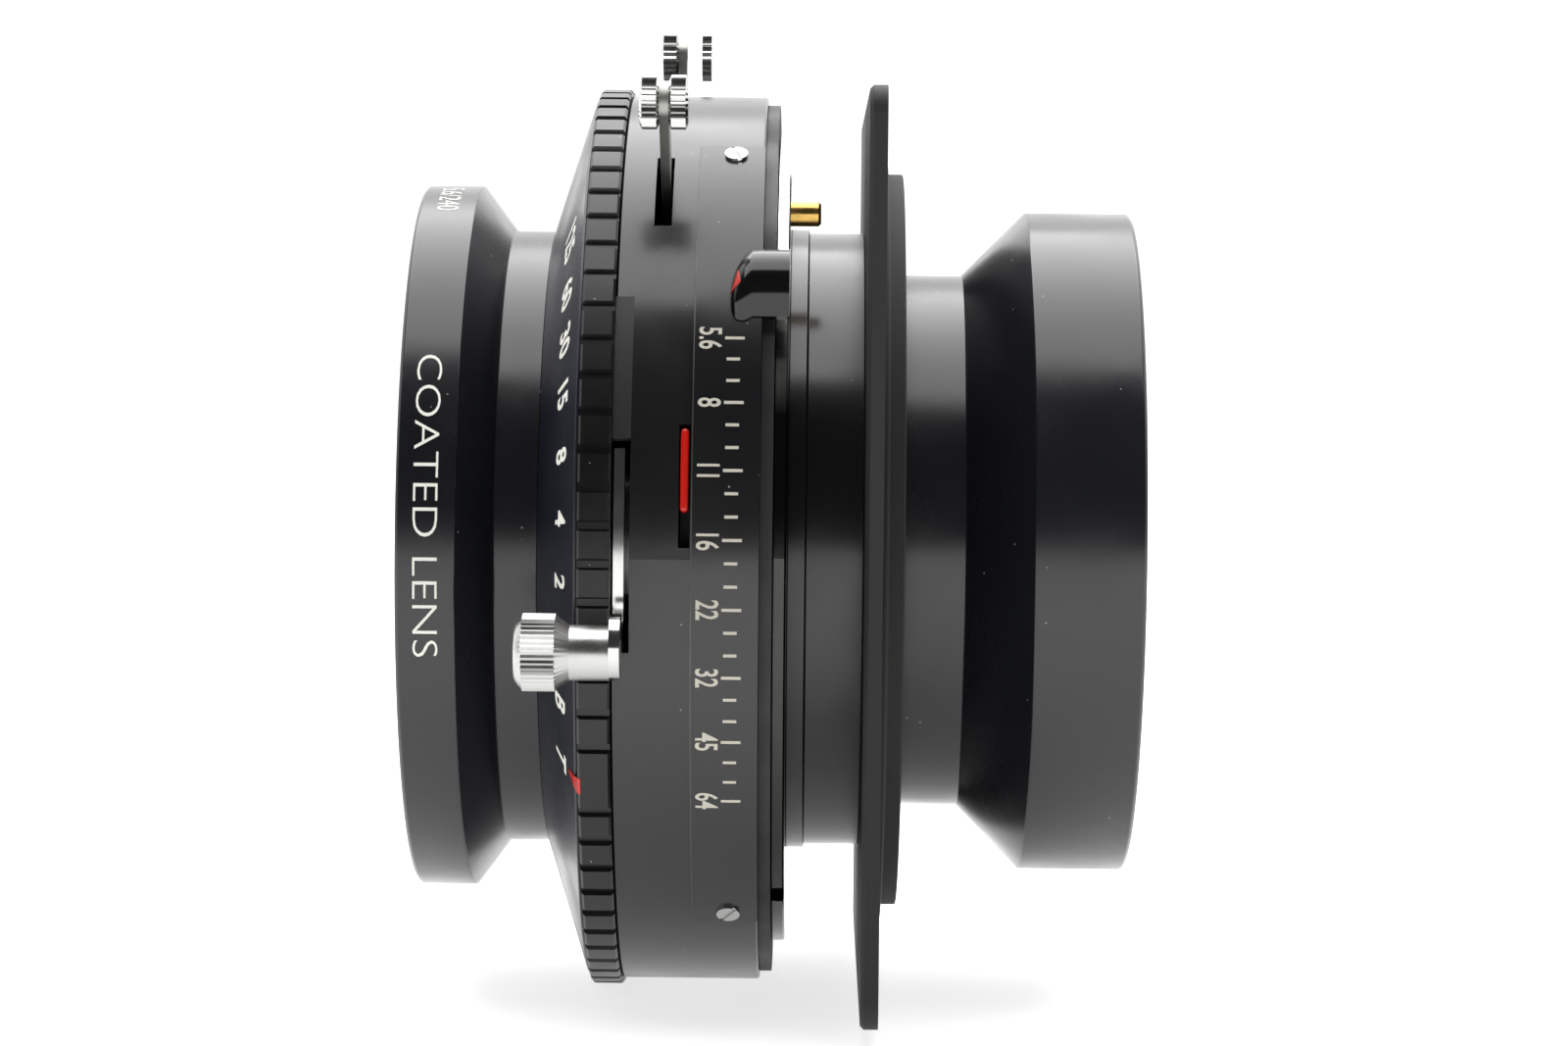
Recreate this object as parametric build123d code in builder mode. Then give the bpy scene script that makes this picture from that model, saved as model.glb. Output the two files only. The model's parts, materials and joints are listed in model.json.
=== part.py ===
from build123d import *
import os
from math import asin, atan2, cos, degrees, hypot, radians, sin, sqrt, tan

# A large-format lens in a leaf shutter, on a square lens board. +X is the optical axis, towards the
# film; +Z is up; the aperture scale faces -Y. The origin is on the axis, in the board's back face.
# Angles round the axis are "clock angles": 0 faces -Y, 90 is up. Sizes are in millimetres.

# ---- driving dimensions: light path and threads ----
clear_radius = 22.5            # full opening of the shutter and the iris
cell_margin = 6.5              # M58: both lens cells screw into the shutter
mount_margin = 2.0             # M62: the shutter's rear tube, through the board
tube_wall = 2.5                # wall of the tubes round the cell threads

# ---- fits ----
running = 0.05                 # radial clearance of pieces that turn
slip = 0.1                     # radial clearance of pieces that slide into place
end_play = 0.05                # axial clearance of turning rings
layer_gap = 0.06               # axial clearance between neighbouring blades
pin_slack = 0.15               # radial clearance of a driving pin in its cam slot

# ---- lens board ----
board_margin = 4.3             # board beyond the light trap's flange, at its sides
board_extra_height = 3.0
board_thickness = 1.9
board_corner = 3.0
board_hole_clearance = 0.3
trap_flange_width = 1.9
trap_flange_thickness = 0.6
trap_room = 5.8                # from the nut's rim to the trap's
trap_height = 2.4
trap_wall = 2.0
nut_width = 5.0
nut_thickness = 2.2
nut_slot_width = 3.0
nut_slot_depth = 1.6
spacer_width = 4.0
spacer_flange_step = 0.4
spacer_flange_length = 2.0
spacer_length = 8.25
board_bevel = 0.4
nut_bevel = 0.4
spanner_clocks = (45.0, 135.0, 225.0, 315.0)

# ---- shutter: lengths along the axis, from the back forwards ----
rear_plate_thickness = 1.3
rear_plate_inset = 4.4         # rear plate's rim inside the case's wall
rear_plate_gap = 0.15
aperture_ring_thickness = 1.3
aperture_ring_inset = 0.9
case_floor = 0.95
iris_blade_thickness = 0.15
iris_end_gap = 0.2
separator_thickness = 2.6
shutter_blade_thickness = 0.26
shutter_end_gap = 0.2
drive_ring_thickness = 1.0
base_thickness = 1.4
base_bore_margin = 0.4
baffle_thickness = 1.2
cell_spigot_length = 6.5       # thread of the front cell
cell_stop_width = 1.6
lever_thickness = 1.0
lever_gap = 0.35
mainspring_room = 2.93
cocking_thickness = 1.1
cocking_gap = 0.2
web_gap = 0.4
web_thickness = 1.0
ring_bevel = 0.25
plate_hub_length = 1.2
plate_hub_width = 0.7
plate_seat_length = 1.1
plate_seat_width = 1.4
speed_ring_width = 3.45
rim_thickness = 0.3
cone_rim_step = 0.4            # dial's rim inside the case's radius
cone_depth = 4.7
cone_top_margin = 0.8          # dial's front edge, outside the lock ring

# ---- shutter: widths across the axis ----
edge_bevel = 0.2               # broken edge of a turned piece
case_wall = 1.5
floor_lip = 2.0                # floor of the case inside the cell thread
cell_end_gap = 0.5             # free thread beyond a screwed-in cell
separator_ledge = 1.3
case_seat = 2.5                # ledge the mechanism base is screwed to
speed_ring_proud = 0.7
speed_band = 2.1
hub_wall = 1.55
lock_ring_width = 3.15
lock_ring_thickness = 1.4
lock_slot = (1.2, 2.0)         # depth and width of its spanner slots, as cutting blocks
cocking_ring_width = 4.4

# ---- blades ----
iris_count = 7
iris_band_share = 0.56         # of the full opening's radius
iris_span = 106.0
iris_lever = 6.0
iris_pin_radius = 0.5
smallest_opening = 1.75
opening_margin = 0.4           # blades clear of the full opening
aperture_travel = 64.65        # pointer's turn from full opening to f/64
shutter_count = 5
shutter_band_extra = 0.5       # shutter blades are a little wider than the iris's
shutter_span = 112.0
shutter_lever = 5.2
shutter_pin_radius = 0.6
shutter_overlap = 1.6          # how far each closed blade reaches past the axis
pivot_margin = 2.5
tab_radius = 3.0               # round tab of a blade on its pivot
iris_tail_width = 2.6
shutter_tail_width = 2.8
pin_end_gap = 0.2              # pins stop short of the face they don't go through
pivot_pin_radius = 0.75
drive_stroke = 154.0           # drive ring's turn in degrees, times the blades' pivot radius
rim_margin = 2.5
drive_ring_width = 5.2

# ---- controls, as clock angles ----
speed_step = 8.5
speed_steps = 9
speed_index_clock = -27.6      # red pointer, at rest on T
notch_pitch = 4.5
notch_depth = 0.5
notch_width = 1.2                      # at the rim, narrower at the bottom
notch_slope = 65.0                     # angle of a notch's flanks to the rim
cocking_clock = -9.9
cocking_arm_clock = -9.2               # the arm's middle lies a little above the knob's
cocking_travel = 20.0
cocking_post_reach = 4.6                # knob's axis, outside the case
cocking_slot_clocks = (-11.2, 14.4)
cocking_slot_width = 1.95
cocking_rim_clock = 13.5               # upper end of the lever's rim, seen in its slot
cocking_rim_width = 1.6
stop_block_top_clock = 32.7
arm_width = 2.6
arm_head_radius = 3.45
knob_shaft_radius = 2.85
knob_shaft_length = 4.1
knob_bevel = 1.35
knob_rivet_radius = 1.5
knob_radius = 4.0
knob_length = 4.35
knob_ridges = 36
knob_groove_radius = 0.3
knob_edge = (0.6, 0.8)                 # length and depth of the head's front bevel
release_slot_top = 57.2
release_slot_room = 0.79                # between the pressed lever and its slot's end
release_slot_width = 2.1
stud_inset = 6.24                      # lever studs, inside the drive ring's bore
release_stud_clock = 59.85
grip_reach = 11.1                      # finger grip's axis, outside the case
release_grip_clock = 51.0
release_travel = 18.0
lever_width = 4.0
focus_offset = 62.2                    # second lever, further round the case
stud_radius = 1.2
stud_cap = 0.8
lever_boss = 1.4                       # round boss of a lever beyond its stud
grip_radius = 2.9
grip_disc = 2.1
grip_ridges = 24
grip_rivet_radius = 1.0
grip_bevel = 0.25
grip_groove_radius = 0.28
focus_pin_reach = 9.4                  # drive pin on the focusing lever, from its stud
focus_pin_radius = 0.6
lever_spring_wire = 0.25
lever_spring_turn = 300.0
mainspring_wire = 0.45
mainspring_start = 200.0
mainspring_turn = 320.0
slider_clocks = (5.6, 15.6)
slider_slot_clocks = (1.4, 16.1)
slider_proud = 0.5
slider_round = 0.3
scale_clocks = (-52.0, 59.2)
scale_thickness = 0.5
scale_front_margin = 7.05              # scale plate's front edge, ahead of the case's back
scale_screw_clocks = (-49.8, 57.0)
scale_screw_inset = 3.15
screw_head_radius = 1.25
screw_shank_radius = 0.7
screw_head_height = 0.35
screw_slot = (0.4, 0.45, 4.0)          # cutting block: depth, width and length
screw_slot_turns = (35.0, -20.0)       # of each screw's slot, from round the axis
pointer_clock = 34.6                   # aperture pointer's ridge, at full opening
pointer_tip_clock = 31.3
pointer_half_width = 4.9
pointer_height = 2.7
pointer_length = 6.2
pointer_taper = 1.9
pointer_tail = 1.5
pointer_room = 0.15                    # between the pointer and the scale plate
pointer_skirts = (0.5, 1.1)            # heights of its lower and upper sides
pointer_hollow = 0.2                   # foot's middle, above its sides
pointer_foot_inset = 0.6               # degrees, of the foot inside the pointer
pointer_foot_depth = 0.3
locating_pin_clock = 55.7
locating_pin_radius = 1.35
locating_pin_length = 3.3
locating_pin_inset = 0.45
locating_pin_bevel = 0.3
plate_notch_clock = -55.3
plate_notch_radius = 1.6
plate_notch_depth = 1.2
cable_socket_clock = 165.0
flash_clock = 205.0
socket_radius = 3.2
socket_step = 0.8                      # neck of a socket, narrower than its collar
fixing_seat = 1.5                      # inner end of screws and sockets, outside the case's bore
socket_length = 6.0
socket_collar_gap = 0.15
flash_collar = 1.6
flash_shell_inset = 1.5                # its sleeve ends short of the cable socket's length
flash_bore_radius = 1.75
flash_floor = 1.2
insulator_height = 0.5
flash_pin_radius = 0.5
flash_pin_inset = 2.3
cable_bore_radius = 1.6
cable_bore_length = 5.0
base_screw_clocks = (95.0, 185.0, 275.0, 345.0)
base_screw_radius = 0.85
base_screw_head = 1.25
base_screw_head_height = 0.3
base_screw_length = 2.8

# ---- front cell ----
front_neck_step = 0.2          # neck's radius over the lock ring's
front_neck_length = 4.7
front_flare_length = 3.8
front_rim_radius = 40.0
front_rim_length = 6.4
filter_rim_width = 1.9
filter_thread_length = 4.2
name_ring_flange = 0.8
name_ring_seat = 2.5           # its thread, inside the filter thread
front_glass_radius = 32.5
outer_glass_curve = 125.0
outer_glass_setback = 0.3              # front vertex behind the filter thread
crown_thickness = 5.0
flint_thickness = 2.0
cement_curve = 900.0
flint_curve = 220.0
flint_clear_margin = 1.0       # flint's hollow face beyond the inner glass's rim
air_space = 2.8
glass_gap = 0.05
glass_ledge = 0.2
flint_ledge = 0.4
flint_seat = 1.5                       # from the flint's rim to the inner glass's bore
nose_step = 2.2
nose_length = 4.0                      # barrel behind the inner glass's seat
rim_bevel = 0.4
name_ring_step = 0.8
name_ring_slope = 2.8                  # how far its front face opens out from the lip
lip_width = 1.3                        # how far a retaining ring reaches over its glass
retainer_width = 2.4
retainer_length = 2.8
lip_gap = 0.1                          # between a retaining ring's lip and its glass
inner_glass_rim = 2.5          # beyond the full opening
inner_front_curve = 70.0
inner_back_curve = 58.0
inner_thickness = 4.4
inner_clear_margin = 0.2

# ---- rear cell ----
rear_neck_step = 1.3           # neck's radius over the cell thread's
rear_neck_length = 6.8
rear_flare_length = 7.2
rear_rim_radius = 37.55
rear_rim_length = 11.9
rear_glass_radius = 31.0
rear_cap_wall = 2.55
rear_ring_seat = 1.4           # its thread, inside the rear cap's
rear_ring_length = 3.8
rear_ring_slope = 2.2
rear_glass_setback = 1.7
rear_air_space = 3.7
spigot_length = 7.4


# ---- stations along the axis, worked out from the board's back face forwards ----
x_board = -board_thickness
x_spacer = x_board - spacer_length
x_plate = x_spacer - rear_plate_thickness
x_ring_back = x_plate - rear_plate_gap
x_ring = x_ring_back - aperture_ring_thickness
x_case_back = x_ring - end_play
x_floor = x_case_back - case_floor
x_iris_back = x_floor - iris_end_gap
iris_pitch = iris_blade_thickness + layer_gap
x_iris = x_iris_back - iris_count * iris_pitch
x_separator_back = x_iris - iris_end_gap
x_separator = x_separator_back - separator_thickness
x_shutter_back = x_separator - shutter_end_gap
shutter_pitch = shutter_blade_thickness + layer_gap
x_shutter = x_shutter_back - shutter_count * shutter_pitch
x_drive_back = x_shutter - layer_gap
x_drive = x_drive_back - drive_ring_thickness
x_base_back = x_drive - 2 * end_play
x_base = x_base_back - base_thickness
x_lever_back = x_base - lever_gap
x_lever = x_lever_back - lever_thickness
x_cocking_back = x_lever - mainspring_room
x_cocking = x_cocking_back - cocking_thickness
x_case = x_cocking - cocking_gap
x_web_back = x_case - web_gap
x_web = x_web_back - web_thickness
x_speed_back = x_case - end_play
x_speed = x_speed_back - speed_ring_width
x_rim_back = x_speed - end_play
x_rim = x_rim_back - rim_thickness
x_tube = x_rim - cone_depth
x_neck = x_tube - front_neck_length
x_flare = x_neck - front_flare_length
x_front = x_flare - front_rim_length
x_rear_seat = trap_height
x_rear_neck = x_rear_seat + rear_neck_length
x_rear_flare = x_rear_neck + rear_flare_length
x_rear = x_rear_flare + rear_rim_length

# ---- radii that follow from the light path, the blades and the fits ----
cell_thread_radius = clear_radius + cell_margin
mount_thread_radius = cell_thread_radius + mount_margin
nut_radius = mount_thread_radius + nut_width
spacer_radius = mount_thread_radius + spacer_width
spacer_flange_radius = spacer_radius + spacer_flange_step
trap_radius = nut_radius + trap_room
trap_flange_radius = trap_radius + trap_flange_width
board_width = 2 * (trap_flange_radius + board_margin)
board_height = board_width + board_extra_height
cell_bore = cell_thread_radius + running
tube_radius = cell_bore + tube_wall
lock_ring_radius = tube_radius + lock_ring_width
cone_top_radius = lock_ring_radius + cone_top_margin
front_neck_radius = lock_ring_radius + front_neck_step
rear_neck_radius = cell_thread_radius + rear_neck_step
filter_thread_radius = front_rim_radius - filter_rim_width
name_ring_thread_radius = filter_thread_radius - name_ring_seat
rear_cap_thread_radius = rear_rim_radius - rear_cap_wall
rear_ring_radius = rear_cap_thread_radius - rear_ring_seat
inner_glass_radius = clear_radius + inner_glass_rim
inner_clear_radius = clear_radius + inner_clear_margin
flint_clear_radius = inner_glass_radius + flint_clear_margin
iris_band = iris_band_share * clear_radius
shutter_band = iris_band + shutter_band_extra
band_inner = clear_radius + opening_margin
iris_outer = band_inner + iris_band
iris_pivot_radius = iris_outer + pivot_margin
iris_swing = degrees(2 * asin((band_inner - smallest_opening) / (2 * iris_pivot_radius)))
shutter_outer = band_inner + shutter_band
shutter_pivot_radius = shutter_outer + pivot_margin
shutter_swing = degrees(2 * asin((band_inner + shutter_overlap) / (2 * shutter_pivot_radius)))
drive_travel = drive_stroke / shutter_pivot_radius
drive_outer = shutter_pivot_radius + shutter_lever + rim_margin
drive_inner = drive_outer - drive_ring_width
case_bore_mid = drive_outer + slip
case_bore_back = case_bore_mid - separator_ledge
base_radius = case_bore_mid + case_seat
case_bore_front = base_radius + slip
case_radius = case_bore_front + case_wall
fixing_seat_radius = case_bore_mid + fixing_seat
neck_radius = socket_radius - socket_step
cone_rim_radius = case_radius - cone_rim_step
speed_radius = case_radius + speed_ring_proud
speed_bore = speed_radius - speed_band
cone_seat_radius = speed_bore - slip
web_bore = tube_radius + slip
aperture_ring_radius = case_radius - aperture_ring_inset
rear_plate_radius = case_radius - rear_plate_inset
scale_radius = case_radius + scale_thickness
pointer_top_radius = scale_radius + pointer_height
cocking_post_radius = case_radius + cocking_post_reach
release_pivot = (drive_inner - stud_inset, release_stud_clock)
release_grip = (case_radius + grip_reach, release_grip_clock)
print("iris swing", round(iris_swing, 3), "shutter swing", round(shutter_swing, 3))
print("case radius", round(case_radius, 3), "length", round(x_rear - x_front, 3))


# ---- helpers ----
def ray(clock):
    """Plane through the axis at a clock angle: its x runs along the axis, its y outwards."""
    return Plane(origin=(0, 0, 0), x_dir=(1, 0, 0), z_dir=(0, -sin(radians(clock)), -cos(radians(clock))))


def spot(radius, clock):
    """Y and Z of a point at a radius and clock angle."""
    return (-radius * cos(radians(clock)), radius * sin(radians(clock)))


def turned(points):
    """Solid of revolution about the optical axis from (x, radius) points."""
    with BuildPart() as solid:
        with BuildSketch(ray(0)):
            with BuildLine():
                Polyline(*points, close=True)
            make_face()
        revolve(axis=Axis.X)
    return solid.part


def sector(x0, x1, r0, r1, low, high):
    """Part of a ring between two stations, two radii and two clock angles."""
    with BuildPart() as solid:
        with BuildSketch(ray(high)):
            with Locations(((x0 + x1) / 2, (r0 + r1) / 2)):
                Rectangle(abs(x1 - x0), r1 - r0)
        revolve(axis=Axis.X, revolution_arc=high - low)
    return solid.part


def rod(x0, x1, radius, at):
    """Cylinder along the axis direction, between two stations, centred at (Y, Z)."""
    with BuildPart() as solid:
        with BuildSketch(Plane.YZ.offset(min(x0, x1))):
            with Locations(at):
                Circle(radius)
        extrude(amount=abs(x1 - x0))
    return solid.part


def radial_rod(x, clock, r0, r1, radius):
    """Cylinder along a radius, at a station and clock angle."""
    y, z = spot(r0, clock)
    outward = (0, -cos(radians(clock)), sin(radians(clock)))
    with BuildPart() as solid:
        with BuildSketch(Plane(origin=(x, y, z), x_dir=(1, 0, 0), z_dir=outward)):
            Circle(radius)
        extrude(amount=r1 - r0)
    return solid.part


def bar(x0, x1, a, b, width):
    """Flat bar with round ends between two (Y, Z) points."""
    with BuildPart() as solid:
        with BuildSketch(Plane.YZ.offset(min(x0, x1))):
            with Locations(((a[0] + b[0]) / 2, (a[1] + b[1]) / 2)):
                angle = degrees(atan2(b[1] - a[1], b[0] - a[0]))
                SlotCenterToCenter(hypot(b[0] - a[0], b[1] - a[1]), width, rotation=angle)
        extrude(amount=abs(x1 - x0))
    return solid.part


def swept_slot(x0, x1, path, width):
    """Cam slot: a round pin's path of (Y, Z) points, cut through between two stations."""
    with BuildPart() as solid:
        with BuildSketch(Plane.YZ.offset(min(x0, x1))):
            with BuildLine():
                line = Spline(*path)
            trace(line, line_width=width)
            with Locations(path[0], path[-1]):
                Circle(width / 2)
        extrude(amount=abs(x1 - x0))
    return solid.part


def pin_path(pivot, lever, lever_start, swing, ring_start, ring_turn, steps=9):
    """A crank pin's path as seen from a ring that turns with it at a constant ratio (degrees, ccw)."""
    points = []
    for i in range(steps):
        share = i / (steps - 1)
        a = radians(lever_start + swing * share)
        y = pivot[0] + lever * cos(a)
        z = pivot[1] + lever * sin(a)
        b = -radians(ring_start + ring_turn * share)
        points.append((y * cos(b) - z * sin(b), y * sin(b) + z * cos(b)))
    return points


def polar(radius, angle):
    """(Y, Z) at an angle counted from +Y towards +Z."""
    return (radius * cos(radians(angle)), radius * sin(radians(angle)))


def cap_height(curve, radius):
    """Sag of a spherical surface at a radius."""
    return curve - sqrt(curve * curve - radius * radius)


def finish(part, label):
    part.label = label
    export_step(part, "parts/" + label + ".step")


os.makedirs("parts", exist_ok=True)

# ======== lens board, its light trap, the spacer and the mounting nut ========
with BuildPart() as lens_board:
    with BuildSketch(Plane.YZ.offset(x_board)):
        RectangleRounded(board_width, board_height, board_corner)
        Circle(mount_thread_radius + board_hole_clearance, mode=Mode.SUBTRACT)
    extrude(amount=board_thickness)
    chamfer(lens_board.edges().filter_by(GeomType.LINE).filter_by_position(
        Axis.X, x_board - 0.01, x_board + 0.01), board_bevel)
finish(lens_board.part, "lens_board")

with BuildPart() as light_trap:
    add(turned([(0, trap_radius - trap_wall), (trap_height, trap_radius - trap_wall),
                (trap_height, trap_radius), (trap_flange_thickness, trap_radius),
                (trap_flange_thickness, trap_flange_radius), (0, trap_flange_radius)]))
finish(light_trap.part, "light_trap_ring")

with BuildPart() as mount_nut:
    add(turned([(0, mount_thread_radius + running), (nut_thickness, mount_thread_radius + running),
                (nut_thickness, nut_radius - nut_bevel), (nut_thickness - nut_bevel, nut_radius),
                (0, nut_radius)]))
    for clock in spanner_clocks:
        y, z = spot(nut_radius, clock)
        with Locations(Location((nut_thickness, y, z), (90 - clock, 0, 0))):
            Box(2 * nut_slot_depth, nut_slot_width, 2 * nut_slot_depth, mode=Mode.SUBTRACT)
finish(mount_nut.part, "mount_nut")

with BuildPart() as mounting_spacer:
    add(turned([(x_spacer, mount_thread_radius + running), (x_board, mount_thread_radius + running),
                (x_board, spacer_radius), (x_spacer + spacer_flange_length, spacer_radius),
                (x_spacer + spacer_flange_length, spacer_flange_radius),
                (x_spacer, spacer_flange_radius)]))
finish(mounting_spacer.part, "mounting_spacer")

# ======== rear plate and locating pin ========
pin_centre_radius = rear_plate_radius - locating_pin_radius - locating_pin_inset
with BuildPart() as rear_plate:
    add(turned([(x_plate, mount_thread_radius + running), (x_spacer, mount_thread_radius + running),
                (x_spacer, rear_plate_radius - edge_bevel), (x_spacer - edge_bevel, rear_plate_radius),
                (x_plate, rear_plate_radius)]))
    add(rod(x_plate, x_spacer, locating_pin_radius, spot(pin_centre_radius, locating_pin_clock)),
        mode=Mode.SUBTRACT)
    add(radial_rod((x_plate + x_spacer) / 2, plate_notch_clock,
                   rear_plate_radius - plate_notch_depth, case_radius, plate_notch_radius),
        mode=Mode.SUBTRACT)
finish(rear_plate.part, "rear_plate")

with BuildPart() as locating_pin:
    add(rod(x_plate, x_spacer + locating_pin_length, locating_pin_radius,
            spot(pin_centre_radius, locating_pin_clock)))
    chamfer(locating_pin.edges().group_by(Axis.X)[-1], locating_pin_bevel)
finish(locating_pin.part, "locating_pin")

# ======== iris: seven blades between the case's floor and the separator ========
iris_ratio = iris_swing / aperture_travel
iris_tail = -90 - iris_swing / 2
iris_angles = [90 + 360 / iris_count * k for k in range(iris_count)]

with BuildPart() as iris_slots:
    for angle in iris_angles:
        pivot = polar(iris_pivot_radius, angle)
        path = pin_path(pivot, iris_lever, angle + iris_tail, iris_swing, 0, aperture_travel, 15)
        add(swept_slot(x_ring, x_ring_back, path, 2 * (iris_pin_radius + pin_slack)))

with BuildPart() as floor_slots:
    for angle in iris_angles:
        pivot = polar(iris_pivot_radius, angle)
        path = pin_path(pivot, iris_lever, angle + iris_tail, iris_swing, 0, 0)
        add(swept_slot(x_floor, x_case_back, path, 2 * (iris_pin_radius + pin_slack)))
        add(rod(x_floor, x_case_back, pivot_pin_radius + running, pivot))


def crescent(x0, x1, angle, hand, span, band, pivot_radius):
    """Blade: a band round the open aperture with a round tab on its pivot, starting at an angle."""
    middle = band_inner + band / 2
    with BuildPart() as solid:
        with BuildSketch(Plane.YZ.offset(x0)):
            with BuildLine():
                arc = CenterArc((0, 0), middle, angle, hand * span)
            SlotArc(arc, band)
            with Locations(polar(pivot_radius, angle)):
                Circle(tab_radius)
        extrude(amount=x1 - x0)
    return solid.part


for k, angle in enumerate(iris_angles):
    x0 = x_iris_back - (k + 1) * iris_pitch + layer_gap / 2
    x1 = x0 + iris_blade_thickness
    pivot = polar(iris_pivot_radius, angle)
    tail = (pivot[0] + iris_lever * cos(radians(angle + iris_tail)),
            pivot[1] + iris_lever * sin(radians(angle + iris_tail)))
    with BuildPart() as iris_blade:
        add(crescent(x0, x1, angle, 1, iris_span, iris_band, iris_pivot_radius))
        add(bar(x0, x1, pivot, tail, iris_tail_width))
        add(rod(x0, x_case_back - pin_end_gap, pivot_pin_radius, pivot))
        add(rod(x0, x_ring_back - pin_end_gap, iris_pin_radius, tail))
    finish(iris_blade.part, "iris_blade_" + str(k + 1))

with BuildPart() as aperture_ring:
    add(turned([(x_ring, tube_radius + running), (x_ring_back, tube_radius + running),
                (x_ring_back, aperture_ring_radius), (x_ring, aperture_ring_radius)]))
    add(iris_slots.part, mode=Mode.SUBTRACT)
finish(aperture_ring.part, "aperture_ring")

pointer_back = x_ring_back + pointer_tail
pointer_foot = scale_radius + pointer_room
pointer_low = pointer_clock - pointer_half_width
pointer_high = pointer_clock + pointer_half_width
pointer_nose = pointer_back - pointer_length


def point(x, radius, clock):
    """Point in space from a station, a radius and a clock angle."""
    return Vector(x, *spot(radius, clock))


with BuildPart() as aperture_pointer:
    with BuildSketch(Plane.YZ.offset(pointer_back)):
        with BuildLine():
            Polyline(spot(pointer_foot, pointer_low), spot(pointer_foot + pointer_skirts[0], pointer_low),
                     spot(pointer_top_radius, pointer_clock),
                     spot(pointer_foot + pointer_skirts[1], pointer_high),
                     spot(pointer_foot, pointer_high),
                     spot(pointer_foot + pointer_hollow, pointer_clock), close=True)
        make_face()
    extrude(amount=-pointer_length)
    nose = point(pointer_nose, pointer_foot - pointer_hollow, pointer_tip_clock)
    ridge = point(pointer_nose + pointer_taper, pointer_top_radius, pointer_clock)
    for clock in (pointer_low, pointer_high):
        corner = point(pointer_nose + pointer_taper, pointer_foot, clock)
        facing = (ridge - nose).cross(corner - nose)
        if facing.X > 0:
            facing = -facing
        split(bisect_by=Plane(origin=nose, z_dir=facing), keep=Keep.BOTTOM)
    add(sector(x_ring, pointer_back, aperture_ring_radius, pointer_foot + pointer_foot_depth,
               pointer_low + pointer_foot_inset, pointer_high - pointer_foot_inset))
finish(aperture_pointer.part, "aperture_pointer")

# ======== shutter blades, their drive ring, and the plate between them and the iris ========
shutter_angles = [54 + 360 / shutter_count * k for k in range(shutter_count)]
crank_closed = -shutter_swing / 2

with BuildPart() as drive_slots:
    for angle in shutter_angles:
        pivot = polar(shutter_pivot_radius, angle)
        path = pin_path(pivot, shutter_lever, angle + crank_closed, shutter_swing, 0, drive_travel)
        add(swept_slot(x_drive, x_drive_back, path, 2 * (shutter_pin_radius + pin_slack)))

focus_pivot = (release_pivot[0], release_pivot[1] + focus_offset)
lever_start = spot(*release_pivot)
lever_end = spot(*release_grip)
lever_angle = degrees(atan2(lever_end[1] - lever_start[1], lever_end[0] - lever_start[0]))
pressed = radians(lever_angle + release_travel)
side = (-lever_width / 2 * sin(pressed), lever_width / 2 * cos(pressed))
edge = (lever_start[0] + side[0], lever_start[1] + side[1])
outward = edge[0] * cos(pressed) + edge[1] * sin(pressed)
reach = sqrt(outward ** 2 - hypot(*edge) ** 2 + case_radius ** 2) - outward
release_slot_low = degrees(atan2(edge[1] + reach * sin(pressed), -edge[0] - reach * cos(pressed)))
release_slot_low -= release_slot_room
print("release slot", round(release_slot_low, 3))
focus_angle = lever_angle - focus_offset
focus_stud = spot(*focus_pivot)
focus_path = pin_path(focus_stud, focus_pin_reach, focus_angle, release_travel, 0, drive_travel)
focus_base_path = pin_path(focus_stud, focus_pin_reach, focus_angle, release_travel, 0, 0)

with BuildPart() as drive_ring:
    add(turned([(x_drive, drive_inner), (x_drive_back, drive_inner),
                (x_drive_back, drive_outer), (x_drive, drive_outer)]))
    add(drive_slots.part, mode=Mode.SUBTRACT)
    add(swept_slot(x_drive, x_drive_back, focus_path, 2 * (focus_pin_radius + pin_slack)),
        mode=Mode.SUBTRACT)
finish(drive_ring.part, "shutter_drive_ring")

with BuildPart() as slider:
    add(sector(x_drive, x_drive_back, drive_outer, case_radius + slider_proud, *slider_clocks))
    fillet(slider.edges().filter_by(Axis((0, 0, 0), (0, -1, 0)), tolerance=15).group_by(
        SortBy.LENGTH)[-1], slider_round)
finish(slider.part, "focus_indicator")

for k, angle in enumerate(shutter_angles):
    x0 = x_shutter_back - (k + 1) * shutter_pitch + layer_gap / 2
    x1 = x0 + shutter_blade_thickness
    pivot = polar(shutter_pivot_radius, angle)
    crank = (pivot[0] + shutter_lever * cos(radians(angle + crank_closed)),
             pivot[1] + shutter_lever * sin(radians(angle + crank_closed)))
    with BuildPart() as open_blade:
        add(crescent(x0, x1, angle, -1, shutter_span, shutter_band, shutter_pivot_radius))
    axis = Axis((0, pivot[0], pivot[1]), (1, 0, 0))
    with BuildPart() as shutter_blade:
        add(open_blade.part.rotate(axis, -shutter_swing))
        add(bar(x0, x1, pivot, crank, shutter_tail_width))
        add(rod(x_base_back - base_thickness / 2, x1, pivot_pin_radius, pivot))
        add(rod(x_drive + pin_end_gap, x1, shutter_pin_radius, crank))
    finish(shutter_blade.part, "shutter_blade_" + str(k + 1))

with BuildPart() as separator:
    add(turned([(x_separator, band_inner), (x_separator_back, band_inner),
                (x_separator_back, case_bore_mid - running), (x_separator, case_bore_mid - running)]))
finish(separator.part, "blade_separator")

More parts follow.
